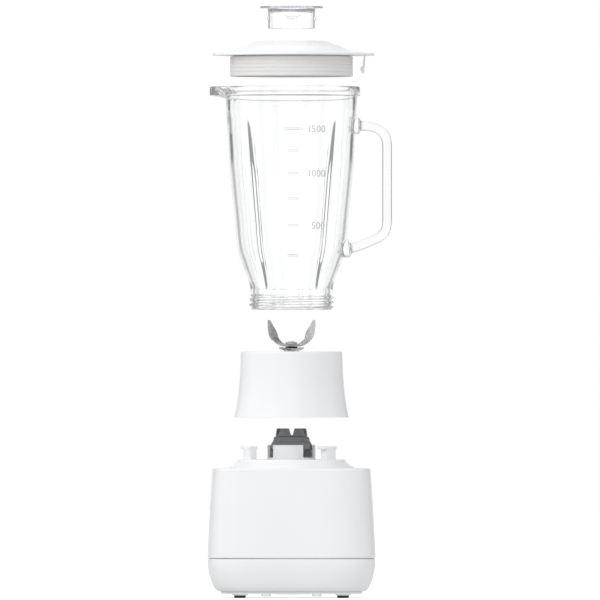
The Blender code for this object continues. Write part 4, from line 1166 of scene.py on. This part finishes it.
def lid_gasket():
    """Five flat bands with narrow grooves between them, which press into the jug's mouth."""
    bands, crest, groove = 5, 63.2, 0.6
    pitch = (GASKET_HIGH - GASKET_LOW) / bands
    outside = []
    for index in range(bands):
        top = GASKET_HIGH - pitch * index
        low = top - pitch
        outside += [(crest - groove, top), (crest - 0.12, top - 0.45), (crest, top - 0.9)]
        outside += [(crest, low + 0.9), (crest - 0.12, low + 0.45)]
    outside.append((crest - groove, GASKET_LOW))
    inside = [(LID_SKIRT_RADIUS + 0.3, GASKET_LOW), (LID_SKIRT_RADIUS + 0.3, GASKET_HIGH)]
    gasket = lathe("lid_gasket_ring", outside + inside, 144)
    placed(gasket, "lid_body", "grey_silicone", "lid_gasket")


CAP_BODY_RADIUS = 24.4
CAP_FLANGE_RADIUS = 32.4


def measuring_cap():
    """A clear cup, open below, with a flange, a dished top and two bayonet lugs."""
    body, seat = CAP_BODY_RADIUS, LID_TOP_Z + 0.3
    dish = [
        (0, seat - 8), (8, seat - 7.3), (14.5, seat - 5.2), (20, seat - 2),
        (23.6, seat + 1.4),
    ]
    flange = [
        (24.6, seat + 2.2, 0.5), (CAP_FLANGE_RADIUS, seat + 2.2, 0.9),
        (CAP_FLANGE_RADIUS, seat + 0.2, 0.8), (body + 0.4, seat, 0.5), (body, seat - 1, 1),
        (body - 0.2, CAP_LOW, 0.5), (body - 1.5, CAP_LOW, 0.5),
    ]
    under = [
        (body - 1.7, seat - 2.6), (21.3, seat - 4.7), (15, seat - 8.4), (8, seat - 10.4),
        (0, seat - 11.1),
    ]
    profile = curved(dish, 5) + rounded(flange, closed=False) + curved(under, 5)
    cap = lathe("measuring_cap_cup", profile, 144, False)
    for turn in (0, 180):
        lug = block("lug", (body - 0.9, -3.2, seat - 12.5), (body + 0.55, 3.2, seat - 8.5), 0.4)
        cap = join(cap, moved(lug, turn=turn))
    placed(cap, "cap", "clear_plastic", "measuring_cap", angle=40)


# ---- Set and camera ----
EYE_HEIGHT = 0.2157
VIEW_DISTANCE = 20.0
FRAME_WIDTH = 0.618
FRAME_CENTRE = (0.00875, 0.30325)


def aim(thing, place, target):
    """Puts a camera or a light in its place and turns it to its target."""
    thing.location = place
    thing.rotation_euler = (Vector(target) - Vector(place)).to_track_quat("-Z", "Y").to_euler()


def add_camera():
    """A long lens at the photograph's eye level."""
    data = bpy.data.cameras.new("camera")
    data.sensor_width = 36.0
    data.lens = data.sensor_width * VIEW_DISTANCE / FRAME_WIDTH
    data.clip_end = 60.0
    camera = added("camera", data)
    centre_x, centre_z = FRAME_CENTRE
    aim(camera, (centre_x, -VIEW_DISTANCE, EYE_HEIGHT), (centre_x, 0.0, centre_z))
    bpy.context.scene.camera = camera


def area_light(name, place, target, width, height, power):
    """A soft light that only matt surfaces show: the room makes the reflections."""
    data = bpy.data.lights.new(name, "AREA")
    data.shape = "RECTANGLE"
    data.size, data.size_y = width, height
    data.energy = power
    light = added(name, data)
    aim(light, place, target)
    light.visible_glossy = False


def direction_ramp(tree, value, stops, low=0.0, high=1.0):
    """A colour_ramp along a value that runs from low to high."""
    spread = new_node(tree, "MapRange", {"From Min": low, "From Max": high, "Value": value})
    stops = [((where - low) / (high - low), shade) for where, shade in stops]
    return colour_ramp(tree, spread.outputs["Result"], stops)


def math_node(tree, operation, *values):
    node = new_node(tree, "Math", dict(enumerate(values)))
    node.operation = operation
    return node.outputs["Value"]


def mixed_colours(tree, factor, first, second, mode="MIX"):
    mix = tree.nodes.new("ShaderNodeMix")
    mix.data_type = "RGBA"
    mix.blend_type = mode
    for name, value in (("Factor", factor), ("A", first), ("B", second)):
        feed(tree, mix.inputs[name], value)
    return mix.outputs["Result"]


def shining(tree, kind, colour):
    """An Emission or a Background shader."""
    return new_node(tree, kind, {"Color": colour}).outputs[kind]


def seen_by_rays(tree, seen, kind, looks):
    """Shows each kind of ray in looks a plain colour, and all other rays what was seen before."""
    rays = tree.nodes.new("ShaderNodeLightPath")
    for ray, colour in looks:
        inputs = {0: rays.outputs[f"Is {ray} Ray"], 1: seen, 2: shining(tree, kind, colour)}
        seen = new_node(tree, "MixShader", inputs).outputs["Shader"]
    return seen


def panel_pattern(tree, x, y, level, dark):
    """Eight white panels round the room, with dark gaps between. level is the length of (x, y)."""
    sizes = [math_node(tree, "ABSOLUTE", value) for value in (x, y)]
    across = math_node(tree, "MAXIMUM", *sizes)
    facing = math_node(tree, "DIVIDE", across, level)
    stops = ((0.70, 0.75), (0.75, 0.7), (0.82, dark), (0.90, dark), (0.955, 0.9), (1.0, 0.9))
    return direction_ramp(tree, facing, stops, 0.7)


def add_floor():
    """A pale sweep, large enough to run out of every view. It lights the object less than it
    shows, as paper does under an object's own shade. Polished pieces mirror a plain grey, and the
    glass sees the shade and the room's panels in it."""
    made = bmesh.new()
    bmesh.ops.create_grid(made, x_segments=1, y_segments=1, size=14.0)
    floor = from_bmesh("floor", made, outward=False)
    floor.location.z = CAD_BOX[0][2] - 0.0002
    paint = Shader("floor_paper", (0.9, 0.9, 0.9), 0.8)
    paint.bump(paint.noise(1.5, 3.0), 0.05, 0.3)
    paint.set("Emission Color", grey(1.0))
    paint.set("Emission Strength", 0.3)
    tree = paint.tree
    away = new_node(tree, "VectorMath", {0: paint.place})
    away.operation = "LENGTH"
    place = new_node(tree, "SeparateXYZ", {"Vector": paint.place})
    x, y, distance = place.outputs["X"], place.outputs["Y"], away.outputs["Value"]
    shadow = ((0.0, 0.35), (0.22, 0.35), (0.34, 1.0), (0.5, 1.0))
    shade = direction_ramp(tree, distance, shadow, high=0.5)
    glassy = mixed_colours(tree, 1.0, shade, panel_pattern(tree, x, y, distance, 0.3), "MULTIPLY")
    looks = (("Diffuse", grey(0.70)), ("Glossy", grey(0.72)), ("Transmission", glassy))
    seen = seen_by_rays(tree, paint.main.outputs["BSDF"], "Emission", looks)
    tree.links.new(seen, tree.nodes["Material Output"].inputs["Surface"])
    floor.data.materials.append(paint.material)


def add_world():
    """A white studio. Matt surfaces are lit by a soft room, brightest on the left in front, and
    cooler and dimmer on the right. Glass and metal see bright panels with dark gaps between."""
    world = bpy.data.worlds.new("studio")
    bpy.context.scene.world = world
    world.use_nodes = True
    tree = world.node_tree
    coordinates = tree.nodes.new("ShaderNodeTexCoord")
    direction = new_node(tree, "SeparateXYZ", {"Vector": coordinates.outputs["Generated"]})
    x, y, z = (direction.outputs[axis] for axis in "XYZ")

    left, middle, right = (1.25, 1.245, 1.24), 1.06, (0.78, 0.795, 0.81)
    sides = ((-1.0, 1.0), (-0.8, left), (0.0, middle), (0.8, right), (1.0, 0.7))
    front = direction_ramp(tree, x, sides, -1.0)
    depth = direction_ramp(tree, y, ((-1.0, 0.0), (-0.25, 0.0), (0.15, 1.0), (1.0, 1.0)), -1.0)
    soft = mixed_colours(tree, depth, front, grey(0.95))

    square = math_node(tree, "MULTIPLY", z, z)
    level = math_node(tree, "SQRT", math_node(tree, "SUBTRACT", 1.0, square))
    ceiling = direction_ramp(tree, z, ((0.0, 1.0), (0.25, 1.0), (0.42, 0.5), (1.0, 0.6)))
    panels = mixed_colours(tree, 1.0, panel_pattern(tree, x, y, level, 0.02), ceiling, "MULTIPLY")

    looks = (("Diffuse", soft), ("Camera", grey(1.0)))
    seen = seen_by_rays(tree, shining(tree, "Background", panels), "Background", looks)
    tree.links.new(seen, tree.nodes["World Output"].inputs["Surface"])


def add_lights():
    area_light("key", (-1.6, -1.8, 1.5), (0.0, 0.0, 0.25), 1.2, 1.6, 13.6)
    area_light("top", (-0.6, 0.2, 2.4), (0.0, 0.0, 0.0), 2.2, 2.2, 11.5)
    area_light("fill", (1.0, -1.3, 0.2), (0.0, 0.0, 0.12), 0.8, 0.4, 1.3)


# ---- The whole scene ----
PIECES = (
    lower_housing, upper_housing, bottom_cover, rubber_feet, base_screws, jug_seat, shaft_slinger,
    drive_coupling, cord_gland, control_knob, blade_base, jug_seal, blade_shaft_seal,
    driven_coupling, blades, blade_fixings, glass_jug, jug_scale, lid, lid_gasket, measuring_cap,
)

finish_cad_nodes()
for show in PIECES:
    show()
add_floor()
add_world()
add_lights()
add_camera()
bpy.context.scene.view_settings.view_transform = "Standard"
